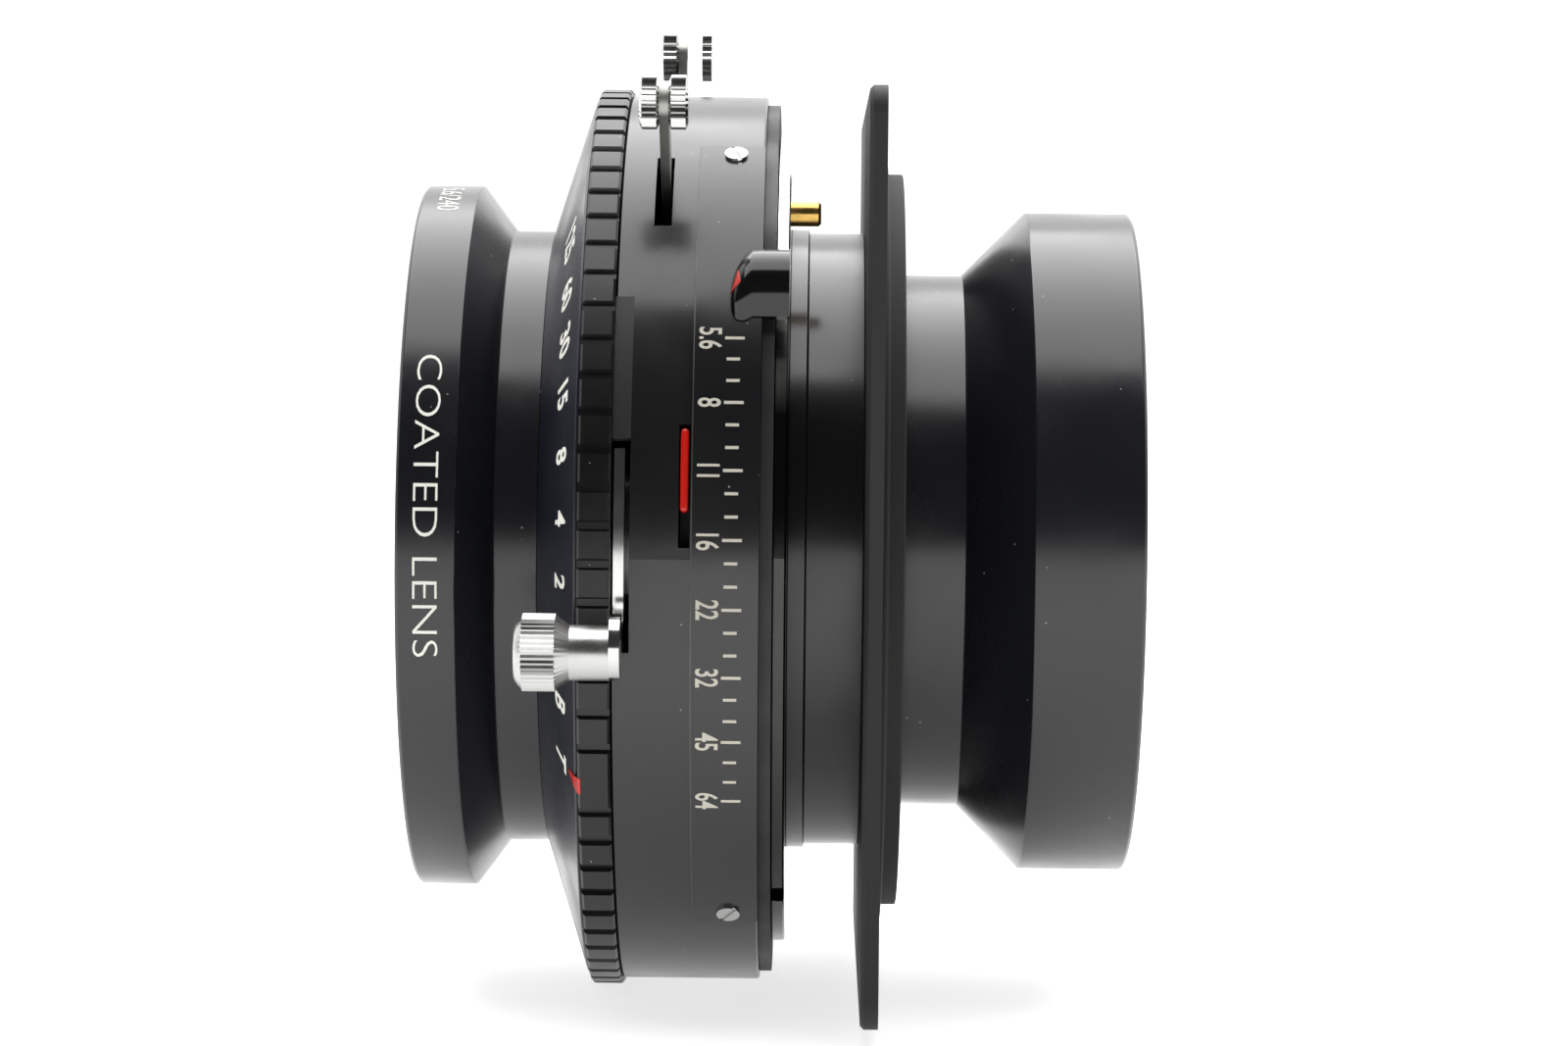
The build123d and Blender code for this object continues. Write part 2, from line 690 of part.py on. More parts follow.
# ======== shutter case: wall, floor and rear tube in one casting ========
x_tube_back = nut_thickness - pin_end_gap
cell_thread_front = x_rear_seat - spigot_length
with BuildPart() as shutter_case:
    add(turned([(x_case, case_bore_front), (x_case, case_radius - edge_bevel),
                (x_case + edge_bevel, case_radius), (x_case_back - edge_bevel, case_radius),
                (x_case_back, case_radius - edge_bevel),
                (x_case_back, tube_radius), (x_plate, tube_radius), (x_plate, mount_thread_radius),
                (x_tube_back, mount_thread_radius), (x_tube_back, cell_bore),
                (cell_thread_front - cell_end_gap, cell_bore),
                (cell_thread_front - cell_end_gap, cell_bore - floor_lip),
                (x_floor, cell_bore - floor_lip), (x_floor, case_bore_back),
                (x_separator_back, case_bore_back),
                (x_separator_back, case_bore_mid), (x_base_back, case_bore_mid),
                (x_base_back, case_bore_front)]))
    add(floor_slots.part, mode=Mode.SUBTRACT)
    low, high = cocking_slot_clocks
    add(sector(x_case - 1, x_case + cocking_slot_width, case_bore_front - 1, case_radius + 1,
               low, stop_block_top_clock), mode=Mode.SUBTRACT)
    lever_middle = (x_lever + x_lever_back) / 2
    for turn in (0, focus_offset):
        add(sector(lever_middle - release_slot_width / 2, x_base, case_bore_front - 1,
                   case_radius + 1, release_slot_low + turn, release_slot_top + turn),
            mode=Mode.SUBTRACT)
    add(sector(x_drive - slip, x_drive_back + slip, drive_outer - 1, case_radius + 1,
               *slider_slot_clocks), mode=Mode.SUBTRACT)
    x_scale_screw = x_case_back - scale_screw_inset
    for clock in scale_screw_clocks:
        add(radial_rod(x_scale_screw, clock, fixing_seat_radius, case_radius + 1, screw_shank_radius),
            mode=Mode.SUBTRACT)
    x_socket = (x_separator + x_separator_back) / 2
    for clock in (cable_socket_clock, flash_clock):
        add(radial_rod(x_socket, clock, fixing_seat_radius, case_radius + 1, neck_radius),
            mode=Mode.SUBTRACT)
    screw_circle = (case_bore_mid + base_radius) / 2
    for clock in base_screw_clocks:
        add(rod(x_base_back, x_base_back + base_screw_length + pin_end_gap, base_screw_radius,
                spot(screw_circle, clock)), mode=Mode.SUBTRACT)
finish(shutter_case.part, "shutter_case")

# ======== mechanism base with the front tube ========
base_bore = band_inner + base_bore_margin
x_baffle = x_base - baffle_thickness
x_cell_stop = x_tube + cell_spigot_length + 2 * cell_end_gap
cell_stop_radius = cell_bore - cell_stop_width
with BuildPart() as mechanism_base:
    add(turned([(x_tube, cell_bore), (x_tube, tube_radius), (x_base, tube_radius),
                (x_base, base_radius), (x_base_back, base_radius), (x_base_back, base_bore),
                (x_baffle, base_bore), (x_baffle, cell_stop_radius),
                (x_cell_stop, cell_stop_radius), (x_cell_stop, cell_bore)]))
    for angle in shutter_angles:
        add(rod(x_base_back - base_thickness / 2 - running, x_base_back, pivot_pin_radius + running,
                polar(shutter_pivot_radius, angle)), mode=Mode.SUBTRACT)
    for clock in base_screw_clocks:
        add(rod(x_base, x_base_back, base_screw_radius, spot(screw_circle, clock)), mode=Mode.SUBTRACT)
    for stud in (lever_start, focus_stud):
        add(rod(x_base, x_base + base_thickness / 2, stud_radius, stud), mode=Mode.SUBTRACT)
    add(swept_slot(x_base, x_base_back, focus_base_path, 2 * (focus_pin_radius + pin_slack)),
        mode=Mode.SUBTRACT)
finish(mechanism_base.part, "mechanism_base")

with BuildPart() as base_screws:
    for clock in base_screw_clocks:
        at = spot(screw_circle, clock)
        add(rod(x_base, x_base_back + base_screw_length, base_screw_radius, at))
        add(rod(x_base - base_screw_head_height, x_base, base_screw_head, at))
finish(base_screws.part, "base_screws")

# ======== release lever and focusing lever ========
x_stud = x_lever - stud_cap
with BuildPart() as lever_studs:
    for stud in (lever_start, focus_stud):
        add(rod(x_stud, x_base + base_thickness / 2, stud_radius, stud))
finish(lever_studs.part, "lever_studs")


def lever(turn, with_pin):
    """Straight lever from its stud out through the case's slot, with a hole for the grip's rivet."""
    stud = spot(release_pivot[0], release_pivot[1] + turn)
    grip = spot(release_grip[0], release_grip[1] + turn)
    with BuildPart() as solid:
        add(bar(x_lever, x_lever_back, stud, grip, lever_width))
        add(rod(x_lever, x_lever_back, stud_radius + lever_boss, stud))
        add(rod(x_lever, x_lever_back, stud_radius + running, stud), mode=Mode.SUBTRACT)
        add(rod(x_lever, x_lever_back, grip_rivet_radius, grip), mode=Mode.SUBTRACT)
        if with_pin:
            add(rod(x_lever_back, x_drive_back - pin_end_gap, focus_pin_radius, focus_path[0]))
    return solid.part


def grip(turn):
    """Two ridged discs riveted through the lever's end."""
    at = spot(release_grip[0], release_grip[1] + turn)
    with BuildPart() as solid:
        add(rod(x_lever - grip_disc, x_lever, grip_radius, at))
        add(rod(x_lever_back, x_lever_back + grip_disc, grip_radius, at))
        chamfer(solid.edges().filter_by(GeomType.CIRCLE), grip_bevel)
        for k in range(grip_ridges):
            a = 360 / grip_ridges * k
            y, z = polar(grip_radius, a)
            add(rod(x_lever - grip_disc, x_lever_back + grip_disc, grip_groove_radius,
                    (at[0] + y, at[1] + z)), mode=Mode.SUBTRACT)
        add(rod(x_lever, x_lever_back, grip_rivet_radius, at))
    return solid.part


finish(lever(0, False), "release_lever")
finish(grip(0), "release_grip")
finish(lever(focus_offset, True), "focus_lever")
finish(grip(focus_offset), "focus_grip")

with BuildPart() as lever_springs:
    for stud in (lever_start, focus_stud):
        x_wire = x_lever - stud_cap / 2
        with BuildSketch(Plane(origin=(x_wire, stud[0], stud[1]), x_dir=(0, 1, 0), z_dir=(0, 0, 1))):
            with Locations((stud_radius + lever_spring_wire + slip, 0)):
                Circle(lever_spring_wire)
        revolve(axis=Axis((0, stud[0], stud[1]), (1, 0, 0)), revolution_arc=lever_spring_turn)
finish(lever_springs.part, "lever_springs")

# ======== cocking lever, its knob, the mainspring and the stop block ========
cocking_ring_radius = tube_radius + slip + cocking_ring_width
post = spot(cocking_post_radius, cocking_clock)
with BuildPart() as cocking_lever:
    add(turned([(x_cocking, tube_radius + running), (x_cocking_back, tube_radius + running),
                (x_cocking_back, cocking_ring_radius), (x_cocking, cocking_ring_radius)]))
    add(bar(x_cocking, x_cocking_back, spot(cocking_ring_radius - 1, cocking_arm_clock),
            spot(cocking_post_radius, cocking_arm_clock), arm_width))
    add(rod(x_cocking, x_cocking_back, arm_head_radius, spot(cocking_post_radius, cocking_arm_clock)))
    rim = case_bore_front - running
    add(sector(x_cocking, x_cocking_back, rim - cocking_rim_width, rim, cocking_arm_clock,
               cocking_rim_clock))
    add(rod(x_cocking, x_cocking_back, knob_rivet_radius, post), mode=Mode.SUBTRACT)
finish(cocking_lever.part, "cocking_lever")

with BuildPart() as cocking_knob:
    x_shaft = x_cocking - knob_shaft_length
    x_head = x_shaft - knob_bevel
    x_face = x_head - knob_length
    with BuildSketch(ray(cocking_clock)):
        with BuildLine():
            r = cocking_post_radius
            Polyline((x_cocking_back, r), (x_cocking_back, r + knob_rivet_radius),
                     (x_cocking, r + knob_rivet_radius), (x_cocking, r + knob_shaft_radius),
                     (x_shaft, r + knob_shaft_radius), (x_head, r + knob_radius),
                     (x_face + knob_edge[0], r + knob_radius), (x_face, r + knob_radius - knob_edge[1]),
                     (x_face, r), close=True)
        make_face()
    revolve(axis=Axis((0, post[0], post[1]), (1, 0, 0)))
    for k in range(knob_ridges):
        y, z = polar(knob_radius, 360 / knob_ridges * k)
        add(rod(x_face, x_head, knob_groove_radius, (post[0] + y, post[1] + z)), mode=Mode.SUBTRACT)
finish(cocking_knob.part, "cocking_knob")

with BuildPart() as mainspring:
    coil_radius = tube_radius + 2 * mainspring_wire
    with BuildSketch(ray(mainspring_start)):
        with Locations((x_cocking_back + 2 * mainspring_wire, coil_radius)):
            Circle(mainspring_wire)
    revolve(axis=Axis.X, revolution_arc=mainspring_turn)
finish(mainspring.part, "mainspring")

with BuildPart() as stop_block:
    add(sector(x_case, x_case + cocking_slot_width, case_bore_front, case_radius,
               cocking_slot_clocks[1], stop_block_top_clock))
finish(stop_block.part, "cocking_stop_block")

# ======== speed ring, front plate and lock ring ========
hub_radius = web_bore + hub_wall
x_hub = x_tube + lock_ring_thickness + plate_hub_length + end_play
with BuildPart() as speed_ring:
    add(turned([(x_speed, speed_bore), (x_speed, speed_radius - ring_bevel),
                (x_speed + ring_bevel, speed_radius),
                (x_speed_back - ring_bevel, speed_radius), (x_speed_back, speed_radius - ring_bevel),
                (x_speed_back, speed_bore), (x_web_back, speed_bore), (x_web_back, web_bore),
                (x_hub, web_bore), (x_hub, hub_radius), (x_web, hub_radius),
                (x_web, speed_bore)]))
    notches = round(360 / notch_pitch)
    with BuildSketch(Plane.YZ.offset(x_speed)):
        with PolarLocations(speed_radius, notches - 1, 180 - speed_index_clock + notch_pitch,
                            360 - 2 * notch_pitch, endpoint=True):
            Trapezoid(notch_width + 2 * notch_depth / tan(radians(notch_slope)), 2 * notch_depth,
                      notch_slope, rotation=90)
    extrude(amount=speed_ring_width, mode=Mode.SUBTRACT)
finish(speed_ring.part, "speed_ring")

x_lock = x_tube + lock_ring_thickness
x_plate_hub = x_lock + plate_hub_length
x_seat = x_rim_back + plate_seat_length
with BuildPart() as front_plate:
    add(turned([(x_tube, lock_ring_radius + running), (x_lock, lock_ring_radius + running),
                (x_lock, tube_radius + running), (x_plate_hub, tube_radius + running),
                (x_plate_hub, cone_top_radius + plate_hub_width),
                (x_seat, cone_seat_radius - plate_seat_width), (x_seat, cone_seat_radius),
                (x_rim_back, cone_seat_radius),
                (x_rim_back, cone_rim_radius), (x_rim, cone_rim_radius),
                (x_tube, cone_top_radius)]))
finish(front_plate.part, "front_plate")

with BuildPart() as lock_ring:
    add(turned([(x_tube, tube_radius + running), (x_tube, lock_ring_radius - edge_bevel),
                (x_tube + edge_bevel, lock_ring_radius), (x_lock, lock_ring_radius),
                (x_lock, tube_radius + running)]))
    for clock in spanner_clocks:
        y, z = spot(lock_ring_radius, clock)
        with Locations(Location((x_tube, y, z), (90 - clock, 0, 0))):
            Box(lock_slot[0], lock_slot[1], lock_slot[1], mode=Mode.SUBTRACT)
finish(lock_ring.part, "front_lock_ring")

# ======== aperture scale and its screws ========
x_scale = x_case_back - scale_front_margin
with BuildPart() as aperture_scale:
    add(sector(x_scale, x_case_back, case_radius, scale_radius, *scale_clocks))
    for clock in scale_screw_clocks:
        add(radial_rod(x_scale_screw, clock, case_radius - 1, scale_radius + 1, screw_shank_radius),
            mode=Mode.SUBTRACT)
finish(aperture_scale.part, "aperture_scale")

with BuildPart() as scale_screws:
    for clock, slot_turn in zip(scale_screw_clocks, screw_slot_turns):
        head_radius = scale_radius + screw_head_height
        add(radial_rod(x_scale_screw, clock, fixing_seat_radius, scale_radius, screw_shank_radius))
        add(radial_rod(x_scale_screw, clock, scale_radius, head_radius, screw_head_radius))
        slot_place = Location((x_scale_screw, *spot(head_radius, clock)), (-clock, 0, 0))
        with Locations(slot_place * Location((0, 0, 0), (0, slot_turn, 0))):
            Box(screw_slot[1], screw_slot[0], screw_slot[2], mode=Mode.SUBTRACT)
finish(scale_screws.part, "scale_screws")

# ======== cable-release socket and flash terminal ========
top = case_radius + socket_length
with BuildPart() as cable_socket:
    add(radial_rod(x_socket, cable_socket_clock, fixing_seat_radius, case_radius, neck_radius))
    add(radial_rod(x_socket, cable_socket_clock, case_radius - edge_bevel, top, neck_radius))
    add(radial_rod(x_socket, cable_socket_clock, case_radius + socket_collar_gap, top, socket_radius))
    add(radial_rod(x_socket, cable_socket_clock, top - cable_bore_length, top, cable_bore_radius),
        mode=Mode.SUBTRACT)
finish(cable_socket.part, "cable_release_socket")

floor_radius = fixing_seat_radius + flash_floor
foot_radius = floor_radius + flash_pin_radius
with BuildPart() as flash_shell:
    add(radial_rod(x_socket, flash_clock, fixing_seat_radius, case_radius, neck_radius))
    add(radial_rod(x_socket, flash_clock, case_radius - edge_bevel, top - flash_shell_inset, neck_radius))
    add(radial_rod(x_socket, flash_clock, case_radius + socket_collar_gap, case_radius + flash_collar,
                   socket_radius))
    add(radial_rod(x_socket, flash_clock, floor_radius, top - flash_shell_inset, flash_bore_radius),
        mode=Mode.SUBTRACT)
finish(flash_shell.part, "flash_terminal_shell")

with BuildPart() as flash_insulator:
    add(radial_rod(x_socket, flash_clock, floor_radius, case_radius + insulator_height, flash_bore_radius))
    add(radial_rod(x_socket, flash_clock, foot_radius, case_radius + insulator_height + slip,
                   flash_pin_radius), mode=Mode.SUBTRACT)
finish(flash_insulator.part, "flash_terminal_insulator")

with BuildPart() as flash_pin:
    add(radial_rod(x_socket, flash_clock, foot_radius, top - flash_pin_inset, flash_pin_radius))
finish(flash_pin.part, "flash_terminal_pin")


# ======== glass ========
def glass(front, back, radius):
    """Lens element. Each face is (vertex x, curve radius, clear radius); curve > 0 bulges forwards."""
    (x0, c0, r0), (x1, c1, r1) = front, back
    with BuildPart() as solid:
        with BuildSketch(ray(0)):
            with BuildLine():
                e0 = x0 + (1 if c0 > 0 else -1) * cap_height(abs(c0), r0)
                e1 = x1 + (1 if c1 > 0 else -1) * cap_height(abs(c1), r1)
                m0 = x0 + (1 if c0 > 0 else -1) * cap_height(abs(c0), r0 / 2)
                m1 = x1 + (1 if c1 > 0 else -1) * cap_height(abs(c1), r1 / 2)
                ThreePointArc((x0, 0), (m0, r0 / 2), (e0, r0))
                if r0 < radius:
                    Line((e0, r0), (e0, radius))
                Line((e0, radius), (e1, radius))
                if r1 < radius:
                    Line((e1, radius), (e1, r1))
                ThreePointArc((e1, r1), (m1, r1 / 2), (x1, 0))
                Line((x1, 0), (x0, 0))
            make_face()
        revolve(axis=Axis.X)
    return solid.part


x_front_crown = x_front + filter_thread_length + outer_glass_setback
x_front_cement = x_front_crown + crown_thickness
x_front_flint_back = x_front_cement + flint_thickness
x_front_step = x_front_flint_back + cap_height(flint_curve, flint_clear_radius)
x_front_edge = x_front_crown + cap_height(outer_glass_curve, front_glass_radius)
finish(glass((x_front_crown, outer_glass_curve, front_glass_radius),
             (x_front_cement, cement_curve, front_glass_radius), front_glass_radius),
       "front_crown_glass")
finish(glass((x_front_cement, cement_curve, front_glass_radius),
             (x_front_flint_back, flint_curve, flint_clear_radius), front_glass_radius),
       "front_flint_glass")
x_inner_front = x_front_flint_back + air_space
x_inner_back = x_inner_front + inner_thickness
x_inner_seat = x_inner_back + cap_height(inner_back_curve, inner_clear_radius)
x_inner_edge = x_inner_front + cap_height(inner_front_curve, inner_glass_radius)
finish(glass((x_inner_front, inner_front_curve, inner_glass_radius),
             (x_inner_back, inner_back_curve, inner_clear_radius), inner_glass_radius),
       "front_inner_glass")

# ======== front barrel, name ring and inner retaining ring ========
x_spigot = x_tube + cell_spigot_length
x_nose = x_inner_seat + nose_length
nose_radius = cell_thread_radius - nose_step
x_name = x_front + filter_thread_length
x_name_back = x_name + name_ring_flange
x_name_seat = x_front_edge - lip_gap
with BuildPart() as front_barrel:
    add(turned([(x_front, filter_thread_radius), (x_front, front_rim_radius - rim_bevel),
                (x_front + rim_bevel, front_rim_radius), (x_flare, front_rim_radius),
                (x_neck, front_neck_radius), (x_tube, front_neck_radius), (x_tube, cell_thread_radius),
                (x_spigot, cell_thread_radius), (x_spigot, nose_radius),
                (x_nose, nose_radius), (x_nose, inner_clear_radius + glass_ledge),
                (x_inner_seat, inner_clear_radius + glass_ledge),
                (x_inner_seat, inner_glass_radius + glass_gap),
                (x_front_step + flint_seat, inner_glass_radius + glass_gap),
                (x_front_step + flint_seat, flint_clear_radius + flint_ledge),
                (x_front_step, flint_clear_radius + flint_ledge),
                (x_front_step, front_glass_radius + glass_gap),
                (x_name_seat, front_glass_radius + glass_gap), (x_name_seat, name_ring_thread_radius),
                (x_name_back, name_ring_thread_radius), (x_name_back, filter_thread_radius - name_ring_step),
                (x_name, filter_thread_radius - name_ring_step), (x_name, filter_thread_radius)]))
finish(front_barrel.part, "front_barrel")

lip_radius = front_glass_radius - lip_width
x_lip = x_front_crown + cap_height(outer_glass_curve, lip_radius) - lip_gap
with BuildPart() as name_ring:
    name_rim = filter_thread_radius - name_ring_step - running
    add(turned([(x_name, lip_radius + name_ring_slope), (x_name, name_rim), (x_name_back, name_rim),
                (x_name_back, name_ring_thread_radius - running),
                (x_name_seat, name_ring_thread_radius - running), (x_name_seat, front_glass_radius + glass_gap),
                (x_lip, lip_radius)]))
finish(name_ring.part, "name_ring")

ring_lip = inner_glass_radius - retainer_width
x_ring_lip = x_inner_front + cap_height(inner_front_curve, ring_lip) - lip_gap
with BuildPart() as front_inner_ring:
    add(turned([(x_inner_edge - glass_gap, inner_glass_radius), (x_ring_lip, ring_lip),
                (x_inner_edge - retainer_length, ring_lip),
                (x_inner_edge - retainer_length, inner_glass_radius)]))
finish(front_inner_ring.part, "front_inner_retainer")

# ======== rear cell ========
x_rear_crown = x_rear - rear_glass_setback
x_rear_cement = x_rear_crown - crown_thickness
x_rear_flint = x_rear_cement - flint_thickness
x_rear_step = x_rear_flint - cap_height(flint_curve, flint_clear_radius)
x_rear_edge = x_rear_crown - cap_height(outer_glass_curve, rear_glass_radius)
finish(glass((x_rear_cement, -cement_curve, rear_glass_radius),
             (x_rear_crown, -outer_glass_curve, rear_glass_radius), rear_glass_radius),
       "rear_crown_glass")
finish(glass((x_rear_flint, -flint_curve, flint_clear_radius),
             (x_rear_cement, -cement_curve, rear_glass_radius), rear_glass_radius),
       "rear_flint_glass")
x_rin_back = x_rear_flint - rear_air_space
x_rin_front = x_rin_back - inner_thickness
x_rin_seat = x_rin_front - cap_height(inner_back_curve, inner_clear_radius)
x_rin_edge = x_rin_back - cap_height(inner_front_curve, inner_glass_radius)
finish(glass((x_rin_front, -inner_back_curve, inner_clear_radius),
             (x_rin_back, -inner_front_curve, inner_glass_radius), inner_glass_radius),
       "rear_inner_glass")

x_rear_ring = x_rear_edge + glass_gap
with BuildPart() as rear_barrel:
    add(turned([(x_rear_seat - spigot_length, cell_thread_radius), (x_rear_seat, cell_thread_radius),
                (x_rear_seat, rear_neck_radius), (x_rear_neck, rear_neck_radius),
                (x_rear_flare, rear_rim_radius), (x_rear - rim_bevel, rear_rim_radius),
                (x_rear, rear_rim_radius - rim_bevel), (x_rear, rear_cap_thread_radius),
                (x_rear_ring + rear_ring_length, rear_cap_thread_radius),
                (x_rear_ring + rear_ring_length, rear_ring_radius),
                (x_rear_ring, rear_ring_radius), (x_rear_ring, rear_glass_radius + glass_gap),
                (x_rear_step, rear_glass_radius + glass_gap), (x_rear_step, flint_clear_radius + flint_ledge),
                (x_rear_step - flint_seat, flint_clear_radius + flint_ledge),
                (x_rear_step - flint_seat, inner_glass_radius + glass_gap),
                (x_rin_seat, inner_glass_radius + glass_gap), (x_rin_seat, inner_clear_radius + glass_ledge),
                (x_rear_seat - spigot_length, inner_clear_radius + glass_ledge)]))
finish(rear_barrel.part, "rear_barrel")

rear_lip = rear_glass_radius - lip_width
x_rear_lip = x_rear_crown - cap_height(outer_glass_curve, rear_lip) + lip_gap
with BuildPart() as rear_retaining_ring:
    add(turned([(x_rear_ring, rear_ring_radius - running), (x_rear_ring, rear_glass_radius + glass_gap),
                (x_rear_lip, rear_lip), (x_rear_ring + rear_ring_length, rear_lip + rear_ring_slope),
                (x_rear_ring + rear_ring_length, rear_ring_radius - running)]))
finish(rear_retaining_ring.part, "rear_retaining_ring")

with BuildPart() as rear_inner_ring:
    x_lip_back = x_rin_back - cap_height(inner_front_curve, ring_lip) + lip_gap
    add(turned([(x_rin_edge + glass_gap, inner_glass_radius), (x_lip_back, ring_lip),
                (x_rin_edge + retainer_length, ring_lip),
                (x_rin_edge + retainer_length, inner_glass_radius)]))
finish(rear_inner_ring.part, "rear_inner_retainer")
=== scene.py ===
# %% [markdown]
# # A large-format lens in its leaf shutter
# This notebook dresses a measured CAD model. The lens lies on its side on a white table: the front
# cell points left, the square board stands at the right, and the aperture scale faces the viewer.
# The CAD file gives every size, so the first cell opens it and keeps its outer box for later.

import json
from math import hypot, pi, radians

import bpy
import numpy as np
from mathutils import Matrix, Vector


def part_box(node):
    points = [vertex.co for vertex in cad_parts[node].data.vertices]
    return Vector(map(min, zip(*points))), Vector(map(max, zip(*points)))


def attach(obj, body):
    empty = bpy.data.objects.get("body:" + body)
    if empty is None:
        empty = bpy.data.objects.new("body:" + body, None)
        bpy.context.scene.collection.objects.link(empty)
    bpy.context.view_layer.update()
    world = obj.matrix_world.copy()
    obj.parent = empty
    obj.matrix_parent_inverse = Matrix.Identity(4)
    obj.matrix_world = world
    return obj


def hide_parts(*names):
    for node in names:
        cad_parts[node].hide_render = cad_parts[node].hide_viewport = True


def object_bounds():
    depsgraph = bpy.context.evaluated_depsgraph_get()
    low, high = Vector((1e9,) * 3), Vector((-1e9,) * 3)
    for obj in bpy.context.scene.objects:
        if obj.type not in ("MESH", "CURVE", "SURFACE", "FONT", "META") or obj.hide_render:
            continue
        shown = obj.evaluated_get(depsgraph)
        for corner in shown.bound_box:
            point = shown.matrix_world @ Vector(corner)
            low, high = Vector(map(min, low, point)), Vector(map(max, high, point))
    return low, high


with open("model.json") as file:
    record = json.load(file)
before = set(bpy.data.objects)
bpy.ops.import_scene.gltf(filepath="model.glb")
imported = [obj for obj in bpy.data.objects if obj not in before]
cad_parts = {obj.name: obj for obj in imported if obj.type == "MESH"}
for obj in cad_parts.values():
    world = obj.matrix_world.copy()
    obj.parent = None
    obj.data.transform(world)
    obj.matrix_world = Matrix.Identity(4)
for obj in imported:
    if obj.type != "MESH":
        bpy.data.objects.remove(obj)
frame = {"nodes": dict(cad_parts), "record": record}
cad_low, cad_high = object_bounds()
mm = 0.001
print("CAD box in mm:", [round(v / mm, 2) for v in (*cad_low, *cad_high)])

# %% [markdown]
# ## Where things are
# The optical axis is the X axis, and almost everything is turned about it, so a place on the lens is
# given by three numbers: its station along X, its radius, and its clock angle, which is 0 on the side
# that faces the viewer and 90 on top. Each CAD piece says where it starts, ends and how wide it is.

# %% Measure the turned pieces
def measure(node):
    """Front station, back station and outer radius of a turned piece."""
    low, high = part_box(node)
    return low.x, high.x, -low.y


def at(station, radius, clock):
    """Points in space from stations, radii and clock angles in radians: (x, -r cos c, r sin c)."""
    station, radius, clock = np.broadcast_arrays(station, radius, clock)
    return np.stack([station, -radius * np.cos(clock), radius * np.sin(clock)], axis=-1)


_, _, case_radius = measure("shutter_case")
scale_front, scale_back, scale_radius = measure("aperture_scale")
_, _, speed_radius = measure("speed_ring")
barrel_front, _, barrel_rim = measure("front_barrel")
print("case radius", round(case_radius / mm, 2), "speed ring radius", round(speed_radius / mm, 2))

# %% [markdown]
# ## The camera
# A short telephoto from half a metre away, level with the axis and looking down by less than three
# degrees, keeps the rings nearly straight. A matrix built from four turns sets it in one step, which
# is easier to read than three Euler angles.

# %% Set the camera
focal_length = 99.8
camera_place = Vector((-7.0, -499.45, 23.55)) * mm
camera_yaw, camera_pitch, camera_roll = radians(0.43), radians(-2.5), radians(0.6)

camera = bpy.data.objects.new("camera", bpy.data.cameras.new("camera"))
camera.data.lens = focal_length
camera.data.sensor_width = 36.0
camera.data.clip_start = 0.01
camera.data.dof.use_dof = False
camera.matrix_world = (
    Matrix.Translation(camera_place)
    @ Matrix.Rotation(camera_yaw, 4, "Z")
    @ Matrix.Rotation(pi / 2 + camera_pitch, 4, "X")
    @ Matrix.Rotation(camera_roll, 4, "Z")
)
bpy.context.scene.collection.objects.link(camera)
bpy.context.scene.camera = camera
print("camera distance", round(camera_place.length, 3), "m")

# %% [markdown]
# ## Colours and shader nodes
# Paint charts give colours as sRGB hex values, but a shader works in linear light, so one function
# turns the first into the second. A second small function adds a shader node with its settings and
# its links in one call, which keeps every material below short.

# %% Helpers for materials
def linear(hex_colour, alpha=1.0):
    """Linear RGBA of an sRGB hex colour: c / 12.92 in the toe, ((c + 0.055) / 1.055) ** 2.4 above."""
    srgb = np.array([int(hex_colour[i : i + 2], 16) for i in (1, 3, 5)]) / 255
    light = np.where(srgb <= 0.04045, srgb / 12.92, ((srgb + 0.055) / 1.055) ** 2.4)
    return (*light.tolist(), alpha)


def node(tree, kind, inputs=None, **settings):
    """Adds a shader node. Settings are its properties; inputs give a socket a value or a link."""
    new = tree.nodes.new(kind)
    for name, value in settings.items():
        setattr(new, name, value)
    for name, value in (inputs or {}).items():
        if isinstance(value, bpy.types.NodeSocket):
            tree.links.new(value, new.inputs[name])
        else:
            new.inputs[name].default_value = value
    return new


def new_material(name, **sockets):
    """A material with one Principled shader, and its tree. Socket names use _ for a space."""
    material = bpy.data.materials.new(name)
    material.use_nodes = True
    tree = material.node_tree
    shader = tree.nodes["Principled BSDF"]
    for socket, value in sockets.items():
        shader.inputs[socket.replace("_", " ")].default_value = value
    return material, tree, shader


def ramp(tree, value, low, high, bottom, top):
    """Maps a value from low..high to bottom..top and clamps it."""
    return node(tree, "ShaderNodeMapRange", {0: value, 1: low, 2: high, 3: bottom, 4: top}).outputs[0]


print("black anodising in linear light:", [round(v, 4) for v in linear("#17181b")])

# %% [markdown]
# ## Marks of the lathe
# A turned and anodised part isn't evenly black. The tool leaves fine rings, fingers leave smudges and
# dust settles on it. The rings run round the axis, so their pattern must depend only on the station
# and the radius. A noise read at station + 0.8 radius does that: it's constant along each circle.

# %% Shared patterns for machined surfaces
def lathe_marks(tree, pitch):
    """Noise that is constant round the axis: it varies with station + 0.8 radius, once per pitch."""
    place = node(tree, "ShaderNodeTexCoord").outputs["Object"]
    split = node(tree, "ShaderNodeSeparateXYZ", {0: place})
    across = node(tree, "ShaderNodeCombineXYZ", {1: split.outputs[1], 2: split.outputs[2]})
    radius = node(tree, "ShaderNodeVectorMath", {0: across.outputs[0]}, operation="LENGTH")
    along = node(tree, "ShaderNodeMath", {0: radius.outputs["Value"], 1: 0.8, 2: split.outputs[0]},
                 operation="MULTIPLY_ADD")
    return node(tree, "ShaderNodeTexNoise", {"W": along.outputs[0], "Scale": 1 / pitch, "Detail": 3.0},
                noise_dimensions="1D").outputs[0]


